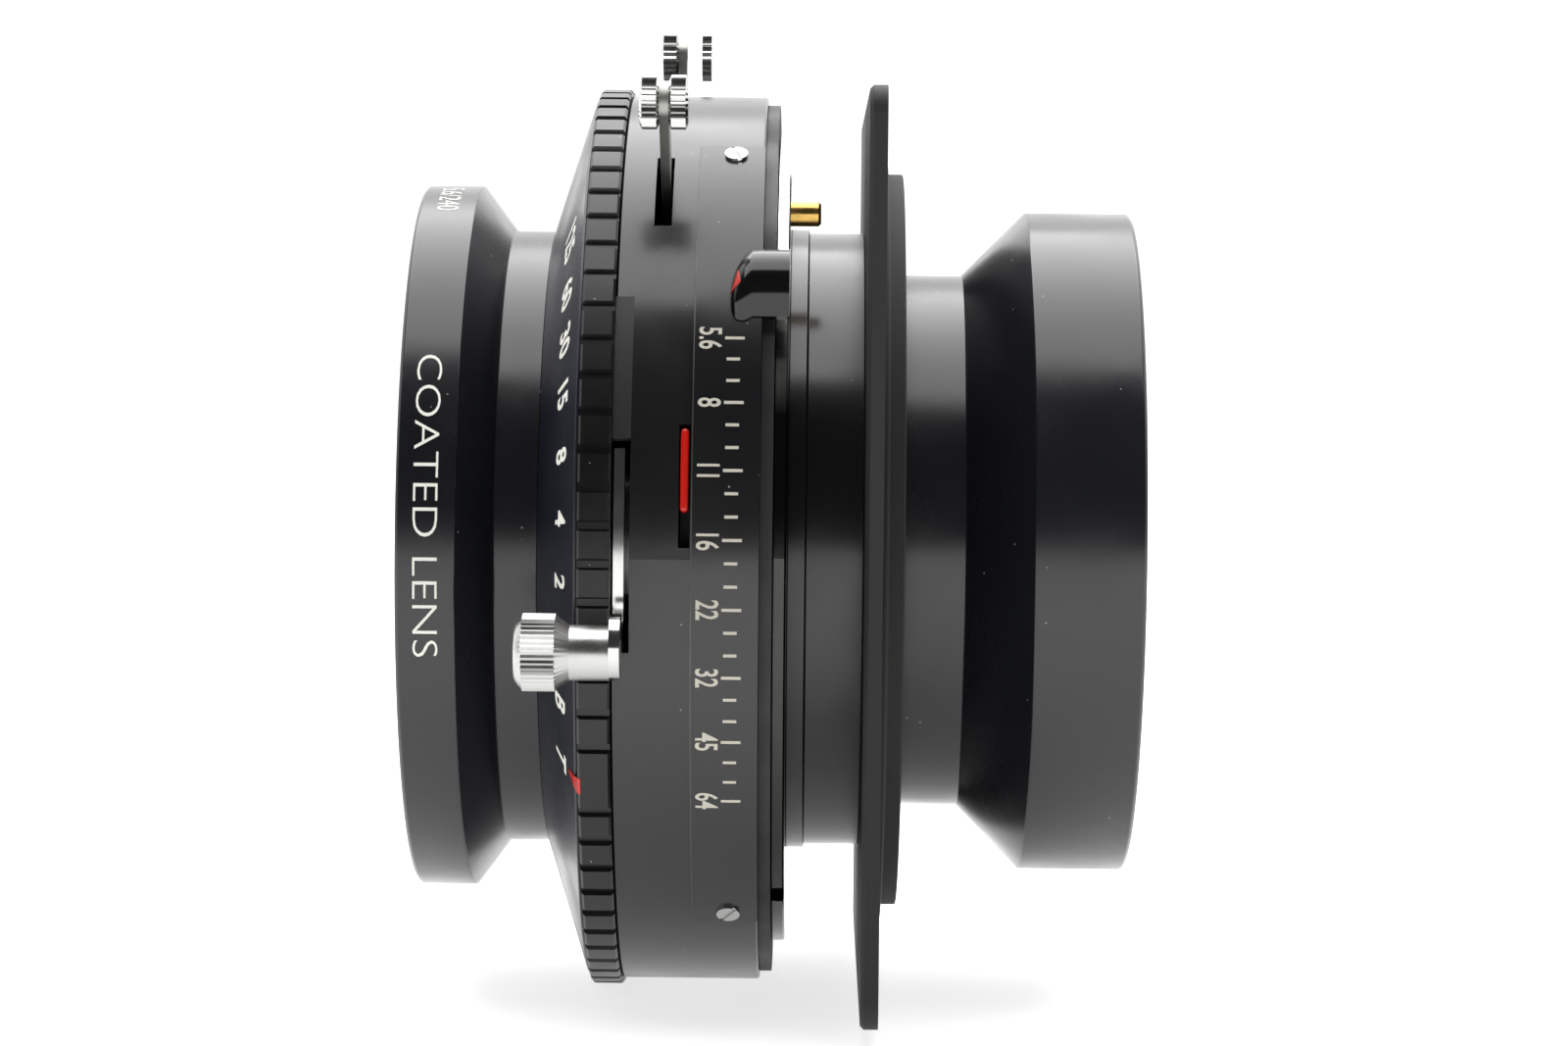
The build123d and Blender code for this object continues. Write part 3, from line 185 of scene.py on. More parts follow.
def blotches(tree, size, detail=3.0):
    """Soft noise with patches of about a given size, for smudges and worn places."""
    place = node(tree, "ShaderNodeTexCoord").outputs["Object"]
    return node(tree, "ShaderNodeTexNoise",
                {"Vector": place, "Scale": 1 / size, "Detail": detail}).outputs[0]


def specks(tree, spacing, size):
    """1 on small grains, one in a few cells of a given spacing, and 0 elsewhere."""
    place = node(tree, "ShaderNodeTexCoord").outputs["Object"]
    cells = node(tree, "ShaderNodeTexVoronoi", {"Vector": place, "Scale": 1 / spacing})
    near = ramp(tree, cells.outputs["Distance"], size / spacing, 0.6 * size / spacing, 0.0, 1.0)
    chance = node(tree, "ShaderNodeSeparateColor", {0: cells.outputs["Color"]}).outputs[0]
    rare = node(tree, "ShaderNodeMath", {0: chance, 1: 0.86}, operation="GREATER_THAN").outputs[0]
    return node(tree, "ShaderNodeMath", {0: near, 1: rare}, operation="MULTIPLY").outputs[0]


# %% [markdown]
# ## Black anodised aluminium
# The barrels and the shutter's body are turned aluminium, dyed black and sealed. The dyed oxide is a
# glass-like layer, so the shader is a dark dielectric, not a metal: black seen straight on, with
# wide soft highlights. Lathe marks and smudges go into the roughness, and dust goes into the colour.

# %% Make the anodised finishes
def anodised(name, colour, roughness, marks=0.15 * mm, dusty=0.5, index=1.56):
    """Dyed aluminium oxide over a turned surface; sealing lowers its index to about 1.56."""
    material, tree, shader = new_material(name, IOR=index)
    rings = lathe_marks(tree, marks)
    smudge = blotches(tree, 9 * mm)
    rough = ramp(tree, smudge, 0.35, 0.65, roughness * 0.85, roughness * 1.2)
    ringed = node(tree, "ShaderNodeMath", {0: rings, 1: 0.03, 2: rough}, operation="MULTIPLY_ADD")
    tree.links.new(ringed.outputs[0], shader.inputs["Roughness"])
    dust = node(tree, "ShaderNodeMath", {0: specks(tree, 1.6 * mm, 0.13 * mm), 1: dusty},
                operation="MULTIPLY")
    shade = node(tree, "ShaderNodeMix", {"Factor": dust.outputs[0], "A": linear(colour),
                                         "B": linear("#b9b7b0")}, data_type="RGBA")
    tree.links.new(shade.outputs["Result"], shader.inputs["Base Color"])
    bump = node(tree, "ShaderNodeBump", {"Height": rings, "Strength": 0.02, "Distance": 0.02 * mm})
    tree.links.new(bump.outputs[0], shader.inputs["Normal"])
    return material


satin_black = anodised("satin_black_anodised_aluminium", "#161618", 0.2)
barrel_black = anodised("turned_black_anodised_barrel", "#15161a", 0.22)
cone_black = anodised("blue_black_anodised_dial", "#181a24", 0.3)
ring_black = anodised("black_anodised_toothed_ring", "#111111", 0.28, index=1.45)
inner_black = anodised("flat_black_anodised_inside", "#0e0e0f", 0.55, dusty=0.0)
print("anodised finishes:", satin_black.name, barrel_black.name, cone_black.name)

# %% [markdown]
# ## Sanded black paint, steel, brass, enamel and glass
# The board has a fine wrinkled coat, so light dies on it. The levers are chromed and brushed steel:
# true metals, whose colour lives in the reflection. Each pattern is set by a real size: a paint grain
# of a quarter of a millimetre, brush lines of a tenth.

# %% Make the other finishes
def grainy(name, colour, roughness, grain, depth):
    """Paint or plastic with a fine grain: noise with a period of one grain moves the surface."""
    material, tree, shader = new_material(name, Base_Color=linear(colour), Roughness=roughness, IOR=1.5)
    noise = blotches(tree, grain, 2.0)
    bump = node(tree, "ShaderNodeBump", {"Height": noise, "Strength": 0.6, "Distance": depth})
    tree.links.new(bump.outputs[0], shader.inputs["Normal"])
    return material


def metal(name, colour, roughness, brush=0.12 * mm, strength=0.15):
    """Bare or plated metal with fine brush lines across the axis."""
    material, tree, shader = new_material(name, Base_Color=linear(colour), Metallic=1.0)
    lines = lathe_marks(tree, brush)
    smudge = blotches(tree, 4 * mm)
    rough = ramp(tree, smudge, 0.3, 0.7, roughness * 0.8, roughness * 1.3)
    tree.links.new(rough, shader.inputs["Roughness"])
    bump = node(tree, "ShaderNodeBump", {"Height": lines, "Strength": strength, "Distance": 0.01 * mm})
    tree.links.new(bump.outputs[0], shader.inputs["Normal"])
    return material


board_paint = grainy("wrinkled_black_board_paint", "#171616", 0.62, 0.25 * mm, 0.05 * mm)
trap_paint = grainy("matte_black_light_trap_paint", "#181716", 0.7, 0.2 * mm, 0.03 * mm)
grained_plastic = grainy("fine_grained_black_plastic", "#1a1a1b", 0.5, 0.12 * mm, 0.02 * mm)
white_fill = grainy("white_filled_engraving", "#f4f2ea", 0.55, 0.1 * mm, 0.004 * mm)
worn_fill = grainy("worn_cream_filled_engraving", "#c2beb2", 0.6, 0.1 * mm, 0.004 * mm)
satin_chrome = metal("satin_chrome_plate", "#b9b9b7", 0.32, strength=0.05)
bright_chrome = metal("bright_chrome_plate", "#c4c4c2", 0.14, strength=0.03)
lever_steel = metal("brushed_steel_lever", "#9f9e9a", 0.42, brush=0.08 * mm, strength=0.25)
bare_edge = metal("bare_punched_edge", "#5c5c5a", 0.5, strength=0.03)
rim_with_painted_highlight = metal("turned_steel_rim_painted_highlight_above", "#d6d5d1", 0.16, brush=0.08 * mm, strength=0.06)

# the plate's edge is painted darker below the axis and painted as a highlight above it, with a short change
# between
painted_shade_below, painted_highlight_above = 15 * mm, 19 * mm
tree = rim_with_painted_highlight.node_tree
height = node(tree, "ShaderNodeSeparateXYZ", {0: node(tree, "ShaderNodeTexCoord").outputs["Object"]})
painted_highlight_share = ramp(tree, height.outputs[2], painted_shade_below, painted_highlight_above, 0.0, 1.0)
rim_painted_shade_and_highlight = node(tree, "ShaderNodeMix",
                  {"Factor": painted_highlight_share, "A": linear("#3f3f3e"), "B": linear("#d6d5d1")}, data_type="RGBA")
tree.links.new(rim_painted_shade_and_highlight.outputs["Result"], tree.nodes["Principled BSDF"].inputs["Base Color"])

blade_steel = metal("blackened_blade_steel", "#26272a", 0.5)
blued_wire = metal("blued_spring_wire", "#4a4d58", 0.3)
pin_brass = metal("turned_brass", "#c9a45c", 0.28)
gloss_black = new_material("polished_black_plastic", Base_Color=linear("#0b0b0c"), Roughness=0.12,
                           IOR=1.5)[0]
red_enamel = new_material("stoved_red_enamel", Base_Color=linear("#c01a12"), Roughness=0.25, IOR=1.5)[0]
coated_glass = new_material("coated_optical_glass", Base_Color=linear("#f6fbf7"), Roughness=0.0, IOR=1.62,
                            Transmission_Weight=1.0)[0]
finishes = {
    "black_anodised": satin_black, "ring_anodised": ring_black, "board_black": board_paint,
    "trap_black": trap_paint, "chromed_steel": satin_chrome, "steel_plate": lever_steel,
    "spring_steel": blued_wire, "blade_steel": blade_steel, "brass": pin_brass,
    "gloss_black": gloss_black, "red_enamel": red_enamel, "black_plastic": grained_plastic,
    "optical_glass": coated_glass,
}
print(len(finishes), "finishes for the record's material slots")

# %% [markdown]
# ## Dress the CAD nodes
# The record says which finish each node takes, so one loop paints the whole frame. A few nodes then
# get a closer match than their slot gives: the dial's cone is a little bluer than the body, and the
# plate behind the aperture ring has a steel edge with painted shade below and a painted highlight above.

# %% Paint every CAD node
slot_of = {row["node"]: row["material_slot"] for row in frame["record"]["subparts"]}
closer_match = {
    "front_barrel": barrel_black, "rear_barrel": barrel_black, "front_plate": cone_black,
    # the rear plate's rim has painted shade below the axis and a painted highlight above it
    "rear_plate": rim_with_painted_highlight, "mechanism_base": inner_black, "blade_separator": inner_black,
    "front_inner_retainer": inner_black, "rear_inner_retainer": inner_black,
    "aperture_ring": inner_black, "shutter_drive_ring": inner_black, "cocking_lever": bright_chrome,
}
for name, obj in frame["nodes"].items():
    obj.data.materials.clear()
    obj.data.materials.append(closer_match.get(name, finishes[slot_of[name]]))
print(len(frame["nodes"]), "nodes painted")

# %% [markdown]
# ## A mesh from a grid of points
# Every new piece below is a surface with two parameters, worked out for the whole grid at once. One
# helper turns such a grid into a mesh, closes it where it meets itself, and hangs it on the CAD body
# it moves with. If the shape knows its own exact normals they are passed in, because they shade a
# rounded edge better than averaged ones.

# %% Turn grids into pieces
def grid_faces(rows, columns, close_rows, close_columns):
    """Quads between neighbouring grid points; a closed direction also joins its last to its first."""
    index = np.arange(rows * columns).reshape(rows, columns)
    if close_rows:
        index = np.vstack([index, index[:1]])
    if close_columns:
        index = np.hstack([index, index[:, :1]])
    quads = np.stack([index[:-1, :-1], index[:-1, 1:], index[1:, 1:], index[1:, :-1]], axis=-1)
    return quads.reshape(-1, 4)


def piece(name, points, faces, material, body, replaces=(), normals=None):
    """A named object in the shared frame that rides on a CAD body."""
    mesh = bpy.data.meshes.new(name)
    mesh.from_pydata(np.asarray(points).reshape(-1, 3).tolist(), [], [list(map(int, f)) for f in faces])
    mesh.materials.append(material)
    mesh.shade_smooth()
    if normals is not None:
        mesh.normals_split_custom_set_from_vertices(np.asarray(normals).reshape(-1, 3).tolist())
    obj = bpy.data.objects.new(name, mesh)
    bpy.context.scene.collection.objects.link(obj)
    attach(obj, body)
    if replaces:
        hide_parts(*replaces)
    return obj


# %% [markdown]
# ## Turned pieces with broken edges
# A real turned part has no knife edges: the last cut breaks every corner by a tenth of a millimetre
# or two, and that tiny round is what draws a thin bright line round each ring. The CAD solids have sharp
# corners. So the section of each solid is read from its mesh, its corners are rounded, and it is
# turned again with a finer step.

# %% Read a section, break its corners and turn it
def section(name):
    """Corners of a turned node's section as (station, radius), in order and counterclockwise.

    Each corner is a circle of points in the mesh. Two circles that share a triangle's side are
    neighbours in the section, and going from neighbour to neighbour puts them in order."""
    mesh = frame["nodes"][name].data
    place = np.empty(len(mesh.vertices) * 3, np.float32)
    mesh.vertices.foreach_get("co", place)
    place = place.reshape(-1, 3).astype(float)
    flat = np.column_stack([place[:, 0], np.hypot(place[:, 1], place[:, 2])])
    cell = 0.0037 * mm
    corners, label = np.unique(np.round(flat / cell), axis=0, return_inverse=True)
    sides = np.empty(len(mesh.loops), np.int32)
    mesh.loops.foreach_get("vertex_index", sides)
    sides = label.reshape(-1)[sides].reshape(-1, 3)
    pairs = np.vstack([sides[:, [0, 1]], sides[:, [1, 2]], sides[:, [2, 0]]])
    pairs = np.unique(np.sort(pairs[pairs[:, 0] != pairs[:, 1]], axis=1), axis=0)
    order = [0]
    while True:
        here = order[-1]
        near = [b if a == here else a for a, b in pairs if here in (a, b)]
        onward = [n for n in near if n not in order]
        if not onward:
            break
        order.append(onward[0])
    points = corners[order] * cell
    if len(order) != len(corners):
        print("  section of", name, "is not a single loop:", len(order), "of", len(corners))
    x, r = points.T
    if np.sum(x * np.roll(r, -1) - np.roll(x, -1) * r) < 0:
        points = points[::-1]
    return points


def broken(points, size, steps=4):
    """Rounds each corner of a closed outline: a quadratic arc between points a size away from it.

    Returns the outline's points and its outward normals."""
    to_next = np.roll(points, -1, axis=0) - points
    length = np.linalg.norm(to_next, axis=1, keepdims=True)
    ahead = to_next / length
    behind = np.roll(ahead, 1, axis=0)
    cut = np.minimum(size, 0.4 * np.minimum(length, np.roll(length, 1, axis=0)))
    t = np.linspace(0, 1, steps)[None, :, None]
    start, end = points - behind * cut, points + ahead * cut
    path = (1 - t) ** 2 * start[:, None] + 2 * t * (1 - t) * points[:, None] + t**2 * end[:, None]
    heading = (1 - t) * behind[:, None] + t * ahead[:, None]
    heading /= np.linalg.norm(heading, axis=2, keepdims=True)
    normal = np.stack([heading[..., 1], -heading[..., 0]], axis=-1)
    return path.reshape(-1, 2), normal.reshape(-1, 2)


def turn(points, normals, steps=240):
    """Carries an outline round the axis: (x, -r cos c, r sin c), with its normals turned alike."""
    clock = np.linspace(0, 2 * pi, steps, endpoint=False)
    x, r = points.T[:, :, None]
    nx, nr = normals.T[:, :, None]
    return at(x, r, clock), at(nx, nr, clock)


def turned_piece(name, material, body="body", edge=0.15 * mm):
    """A finely turned copy of a CAD node, with broken edges, that stands for it."""
    outline, normals = broken(section(name), edge)
    points, facing = turn(outline, normals)
    faces = grid_faces(len(outline), points.shape[1], True, True)
    return piece("turned_" + name, points, faces, material, body, [name], facing)


turned = {
    "front_barrel": (barrel_black, 0.18), "name_ring": (satin_black, 0.1),
    "front_plate": (cone_black, 0.12), "mounting_spacer": (satin_black, 0.15),
    "light_trap_ring": (trap_paint, 0.2), "rear_barrel": (barrel_black, 0.18),
    "rear_retaining_ring": (satin_black, 0.1),
}
for name, (material, edge) in turned.items():
    made = turned_piece(name, material, edge=edge * mm)
    print(made.name, len(made.data.polygons), "faces")

# %% [markdown]
# ## Knurled knob and ridged grips
# The cocking knob and the two finger grips are turned from chromed steel, each about an axis of its
# own, and cut with V ridges so that a finger holds them. A knurl is a turned surface whose radius
# also depends on the angle: r(x, a) = outline(x) - depth * triangle wave(a), where the outline is at
# full width. Cutting every ridge as a solid would cost far more than moving points of one grid.

# %% Knurl the knob and the grips
def knurled(name, outline, centre, ridges, depth, material, body, replaces=()):
    """Closed turned surface about its own axis; the points at full width move in by a triangle wave."""
    x, r = np.array(outline).T
    angle = np.linspace(0, 2 * pi, ridges * 6, endpoint=False)
    wave = np.abs((angle * ridges / pi) % 2 - 1)
    full = (r > r.max() - 0.05 * mm)[:, None]
    reach = r[:, None] - depth * full * wave
    points = np.stack(np.broadcast_arrays(x[:, None], centre[0] - reach * np.cos(angle),
                                          centre[1] + reach * np.sin(angle)), axis=-1)
    faces = grid_faces(len(x), len(angle), True, True)
    made = piece(name, points, faces, material, body, replaces)
    made.data.set_sharp_from_angle(angle=radians(25))
    return made


def centre_of(name):
    """Middle of a node seen along the axis, and half its width there."""
    low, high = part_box(name)
    return ((low.y + high.y) / 2, (low.z + high.z) / 2), (high.z - low.z) / 2


knob_front, knob_back, _ = measure("cocking_knob")
arm_front, _, _ = measure("cocking_lever")
knob_centre, knob_radius = centre_of("cocking_knob")
head_length, collar, hub = 4.35 * mm, 1.35 * mm, 0.02 * mm
shaft_radius, rivet_radius = 2.85 * mm, 1.5 * mm
knob_ridges, knob_ridge_depth = 44, 0.16 * mm

# the domed front of the head, then its knurled rim: (behind the front, inside the rim) in mm
knob_dome = [(0.0, 1.3), (0.1, 1.05), (0.4, 0.6), (0.75, 0.3), (0.85, 0.0)]
knob_outline = [
    (knob_front, hub), *[(knob_front + back * mm, knob_radius - inside * mm) for back, inside in knob_dome],
    (knob_front + head_length - 0.1 * mm, knob_radius), (knob_front + head_length, knob_radius - 0.2 * mm),
    (knob_front + head_length + collar, shaft_radius), (arm_front, shaft_radius),
    (arm_front, rivet_radius), (knob_back, rivet_radius), (knob_back, hub)]
knob = knurled("knurled_cocking_knob", knob_outline[::-1], knob_centre, knob_ridges, knob_ridge_depth,
               satin_chrome, "cocking", ["cocking_knob"])
print("knob radius", round(knob_radius / mm, 2), "mm,", len(knob.data.polygons), "faces")

grip_ridges, grip_ridge_depth = 24, 0.26 * mm
grip_bevel, grip_shoulder = 0.28 * mm, 0.6 * mm
for body in ("release", "focus"):
    grip_front, grip_back, _ = measure(body + "_grip")
    lever_front, lever_back, _ = measure(body + "_lever")
    grip_centre, grip_radius = centre_of(body + "_grip")
    for end, (first, last) in {"front": (grip_front, lever_front), "back": (lever_back, grip_back)}.items():
        disc = [(first, hub), (first, grip_radius - grip_shoulder), (first + grip_bevel, grip_radius),
                (last - grip_bevel, grip_radius), (last, grip_radius - grip_shoulder), (last, hub)]
        stands_for = [body + "_grip"] if end == "front" else []
        made = knurled(f"{body}_grip_{end}_disc", disc[::-1], grip_centre, grip_ridges, grip_ridge_depth,
                       bright_chrome, body, stands_for)
print("two grips of two ridged discs")

# %% [markdown]
# ## The aperture pointer
# The pointer is moulded in glossy black: a smooth hump that narrows to a nose over the scale. A hump
# is easy to write down as a height over two parameters. Along the axis the height rises as a quarter
# of a circle from the nose; round the axis it falls from the ridge to both sides. The flat foot closes
# it. A red triangle marks the side of the nose that points at the figures, and it's laid on the same
# function, so it follows the hump exactly.

# %% Mould the pointer and its red mark
def closed_ends(rows, columns):
    """Faces of a tube of points: quads round it, and one face on each end."""
    last = (rows - 1) * columns
    quads = grid_faces(rows, columns, False, True).tolist()
    return quads + [list(range(columns))[::-1], list(range(last, last + columns))]


def arc_band(name, stations, radii, clocks, material, body, steps=120):
    """Sector of a ring: four corners (station, radius) carried from one clock angle to the other."""
    x = np.array([stations[0], stations[0], stations[1], stations[1]])
    r = np.array([radii[0], radii[1], radii[1], radii[0]])
    clock = np.radians(np.linspace(*clocks, steps))[:, None]
    made = piece(name, at(x, r, clock), closed_ends(steps, 4), material, body)
    made.data.shade_flat()
    return made


_, pointer_back, _ = measure("aperture_pointer")
foot_gap = 0.15 * mm
pointer_foot = scale_radius + foot_gap
pointer_length, taper = 6.2 * mm, 2.3 * mm
pointer_height = 2.5 * mm
ridge_clock, nose_clock, half_turn = radians(34.6), radians(32.4), radians(4.9)
stem_clocks = (30.3, 38.9)


def hump(along, across, lift=0.0):
    """Points of the pointer's top: along from 0 at the nose to 1 at the back, across from -1 to 1.

    rise = sqrt(1 - (1 - q)^2) with q = distance from the nose / taper, held at 1 behind it;
    radius = foot + height * rise * (1 - |across|^2.2); the width grows with rise^0.8 too."""
    along, across = np.broadcast_arrays(along, across)
    q = np.clip(along * pointer_length / taper, 0, 1)
    rise = np.sqrt(1 - (1 - q) ** 2)
    middle = nose_clock + (ridge_clock - nose_clock) * q
    radius = pointer_foot + lift + pointer_height * rise * (1 - np.abs(across) ** 2.2)
    station = pointer_back - pointer_length * (1 - along) - lift * (1 - q)
    return at(station, radius, middle + half_turn * rise**0.8 * across)


share = 1 - np.cos(np.linspace(0.04, 1, 22) * pi / 2)
along = np.concatenate([share * taper / pointer_length, [0.6, 0.8, 0.95, 1.0]])[:, None]
across = np.linspace(-1, 1, 25)
top = hump(along, across)
under = hump(along, across[::-1][1:-1])
spread = np.linalg.norm(under[..., 1:], axis=-1, keepdims=True)
under[..., 1:] *= (pointer_foot - 0.1 * mm) / spread
pointer_points = np.concatenate([top, under], axis=1)
pointer = piece("moulded_aperture_pointer", pointer_points[:, ::-1],
                closed_ends(len(along), pointer_points.shape[1]), gloss_black, "aperture",
                ["aperture_pointer"])
pointer.data.set_sharp_from_angle(angle=radians(40))

ring_front, _, ring_radius = measure("aperture_ring")
arc_band("pointer_stem", (ring_front, pointer_back), (ring_radius, pointer_foot + 0.3 * mm), stem_clocks,
         gloss_black, "aperture", steps=12)

mark_thickness = 0.06 * mm

# corners of the mark: distance from the nose and place across the hump; top, left, right
mark_corners = np.array([(0.82 * mm, 0.45), (0.10 * mm, -0.12), (1.12 * mm, -0.14)])
down, wide = np.meshgrid(np.linspace(0.04, 1, 14), np.linspace(0, 1, 8), indexing="ij")
low_side = mark_corners[1] + wide[..., None] * (mark_corners[2] - mark_corners[1])
mark = mark_corners[0] + down[..., None] * (low_side - mark_corners[0])
under, top = [hump(mark[..., 0] / pointer_length, mark[..., 1], lift) for lift in (0.0, mark_thickness)]
mark_points = np.concatenate([under[:, :1], top, under[:, -1:]], axis=1)[:, ::-1]
piece("pointer_red_mark", mark_points, closed_ends(len(mark_points), mark_points.shape[1]), red_enamel,
      "aperture")
print("pointer", round(pointer_height / mm, 2), "mm high")

# %% [markdown]
# ## The focusing lever's indicator
# A red bar rides on the drive ring and shows in a slot of the case. It's a half-round bar with
# round ends: its plan is a stadium, its crown a half circle. In the end caps the width shrinks as
# sqrt(1 - t^2), and the crown shrinks with it, so the whole bar is one swept section.

# %% Round the red indicator bar
bar_low, bar_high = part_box("focus_indicator")
bar_half = 0.43 * mm
bar_top = case_radius + 0.45 * mm
bar_depth = 2.5 * mm
bar_clocks = np.radians([5.6, 15.6])
bar_middle = (bar_low.x + bar_high.x) / 2


def rounded_bar(u, v):
    """u from 0 to 1 runs along the bar, v from 0 to 2 pi round its section.

    Narrowing e = sqrt(1 - t^2), where t goes from 0 to 1 in the last half width of each end;
    crown: (half e cos v, top - half + half e sin v); the lower half of the section is flat."""
    length = (bar_clocks[1] - bar_clocks[0]) * bar_top
    to_end = np.minimum(u, 1 - u) * length
    e = np.sqrt(1 - np.clip(1 - to_end / bar_half, 0, 0.999) ** 2)
    crown = np.where(np.sin(v) >= 0, bar_top - bar_half + bar_half * e * np.sin(v), bar_top - bar_depth)
    return at(bar_middle + bar_half * e * np.cos(v), crown, bar_clocks[0] + u * length / bar_top)


bend = (1 - np.cos(np.linspace(0, 1, 10) * pi / 2)) * 0.055
u = np.concatenate([bend, np.linspace(0.08, 0.92, 12), (1 - bend)[::-1]])[:, None]
v = np.concatenate([np.linspace(0, pi, 15), [1.02 * pi, 1.98 * pi]])
bar = piece("rounded_focus_indicator", rounded_bar(u, v)[:, ::-1], closed_ends(len(u), len(v)), red_enamel,
            "shutter_drive", ["focus_indicator"])
bar.data.set_sharp_from_angle(angle=radians(50))
print("indicator", round(2 * bar_half / mm, 2), "mm wide")

# %% [markdown]
# ## Figures and marks
# The scales are engraved and filled with white. Type is easiest to get from a text curve: it becomes
# a flat mesh, and then each of its points is laid on the ring. A point (u, v) of the flat type goes
# a distance u round the ring and v along the slope of its surface, so the same function serves a
# cylinder, a cone and a flat face.

# %% Lay flat type on a turned surface
def laid(flat, station, radius, slope, clock, lift):
    """Flat points (u, v, w) on a turned surface: v runs along the slope, u against the clock angle,
    w outwards. The slope is a direction (along the axis, outwards)."""
    along, outward = np.array(slope) / hypot(*slope)
    u, v, w = flat.T
    reach = radius + v * outward + (w + lift) * along
    return at(station + v * along - (w + lift) * outward, reach, clock - u / radius)


def type_mesh(text, height, thickness, bold=0.012, narrow=0.9):
    """Points and faces of one line of type, centred, with capitals of a given height."""
    capital = 0.73
    curve = bpy.data.curves.new("type", "FONT")
    curve.body, curve.align_x, curve.align_y = text, "CENTER", "CENTER"
    curve.size = height / capital
    curve.extrude = thickness / 2
    curve.offset = bold * curve.size
    curve.resolution_u = 4
    holder = bpy.data.objects.new("type", curve)
    bpy.context.scene.collection.objects.link(holder)
    bpy.context.view_layer.update()
    mesh = bpy.data.meshes.new_from_object(holder.evaluated_get(bpy.context.evaluated_depsgraph_get()))
    points = np.empty(len(mesh.vertices) * 3, np.float32)
    mesh.vertices.foreach_get("co", points)
    points = points.reshape(-1, 3).astype(float) * (narrow, 1, 1)
    faces = [list(p.vertices) for p in mesh.polygons]
    bpy.data.objects.remove(holder)
    bpy.data.meshes.remove(mesh)
    bpy.data.curves.remove(curve)
    return points, faces


def inscription(name, lines, height, slope, body, material, lift=0.012 * mm, thickness=0.03 * mm,
                slot=None, **type_settings):
    """One object from many labels; each line is (text, station, radius, clock angle in degrees)."""
    points, faces = [], []
    for text, station, radius, clock in lines:
        flat, flat_faces = type_mesh(text, height, thickness, **type_settings)
        start = sum(map(len, points))
        points.append(laid(flat, station, radius, slope, radians(clock), lift))
        faces += [[i + start for i in face] for face in flat_faces]
    made = piece(name, np.vstack(points), faces, material, body)
    made.data.shade_flat()
    return made


# %% [markdown]
# ## The aperture scale
# Eight f-numbers run down the scale plate, one stop apart, with a long line for each full stop and
# two short ones for the thirds between. Every step is the same angle, so the clock angles come from
# one start and one step.

# %% Engrave the aperture scale
stops = ("5.6", "8", "11", "16", "22", "32", "45", "64")
first_stop_clock = 26.85
stop_step = 8.164
figure_height = 2.42 * mm
line_back = scale_back - 1.75 * mm
full_line, third_line = 2.05 * mm, 1.4 * mm
third_inset = 0.2 * mm
line_width = 0.32 * mm
figure_middle = line_back - full_line - 1.65 * mm
along_axis = (1.0, 0.0)

inscription(
    "aperture_figures",
    [(text, figure_middle, scale_radius, first_stop_clock - k * stop_step) for k, text in enumerate(stops)],
    figure_height, along_axis, "body", worn_fill, bold=0.014, narrow=0.66)


def lines_round(name, marks, radius, body, material, rise=0.03 * mm):
    """Thin raised lines on a cylinder; each is (front, back, clock in degrees, width)."""
    across = np.array([0, 0, 1, 1, 0, 0, 1, 1])
    up = np.array([0, 0, 0, 0, 1, 1, 1, 1])
    along = np.array([0, 1, 1, 0, 0, 1, 1, 0])
    box = np.array([(0, 1, 2, 3), (7, 6, 5, 4), (0, 4, 5, 1), (1, 5, 6, 2), (2, 6, 7, 3), (3, 7, 4, 0)])
    front, back, clock, width = np.array(marks).T[:, :, None]
    turn_angle = np.radians(clock) + (across - 0.5) * width / radius
    points = at(front + (back - front) * along, radius + (up * 1.4 - 0.4) * rise, turn_angle)
    faces = (box[None] + 8 * np.arange(len(marks))[:, None, None]).reshape(-1, 4)
    made = piece(name, points, faces, material, body)
    made.data.shade_flat()
    return made


marks = []
for k in range(len(stops)):
    marks.append((line_back - full_line, line_back, first_stop_clock - k * stop_step, line_width))
for k in range(3 * len(stops) - 3):
    if k % 3:
        clock = first_stop_clock - k * stop_step / 3
        third_front = line_back - full_line + third_inset
        marks.append((third_front, third_front + third_line, clock, line_width))
lines_round("aperture_lines", marks, scale_radius, "body", worn_fill)
print(len(stops), "figures and", len(marks), "lines on the aperture scale")

# %% [markdown]
# The scale plate is punched from sheet after it's blackened, so its cut edge is bare and shines as a
# thin line. The line is a band a tenth of a millimetre wide, a sector of a ring.

# %% Bare the cut edge of the scale plate
edge_clocks = (-51.9, 59.1)
arc_band("scale_bare_edge", (scale_front - 0.03 * mm, scale_front + 0.09 * mm),
         (scale_radius - 0.35 * mm, scale_radius + 0.02 * mm), edge_clocks, bare_edge, "body")
print("bare edge over", round(edge_clocks[1] - edge_clocks[0], 1), "degrees")

# %% [markdown]
# ## Engraving on the front rim
# Two plain words and the focal length are engraved round the rim in thin strokes, reading downwards.

# %% Engrave the front rim
rim_middle = barrel_front + 3.1 * mm
word_height, number_height = 2.9 * mm, 2.6 * mm
word_clock, number_clock = 7.6, 74.0
inscription("rim_word", [("COATED LENS", rim_middle, barrel_rim, word_clock)], word_height, along_axis,
            "body", white_fill, bold=-0.014, narrow=1.3)
inscription("rim_focal_length", [("5.6/240", rim_middle + 0.1 * mm, barrel_rim, number_clock)],
            number_height, along_axis, "body", white_fill, bold=-0.008, narrow=0.95)
print("rim engraving at station", round(rim_middle / mm, 2), "mm")

# %% [markdown]
# ## The speed dial
# The speeds are engraved on the cone in front of the toothed ring. They read the same way as the
# f-numbers but stand on a slope, so the type runs up the cone: the slope is the cone's own.

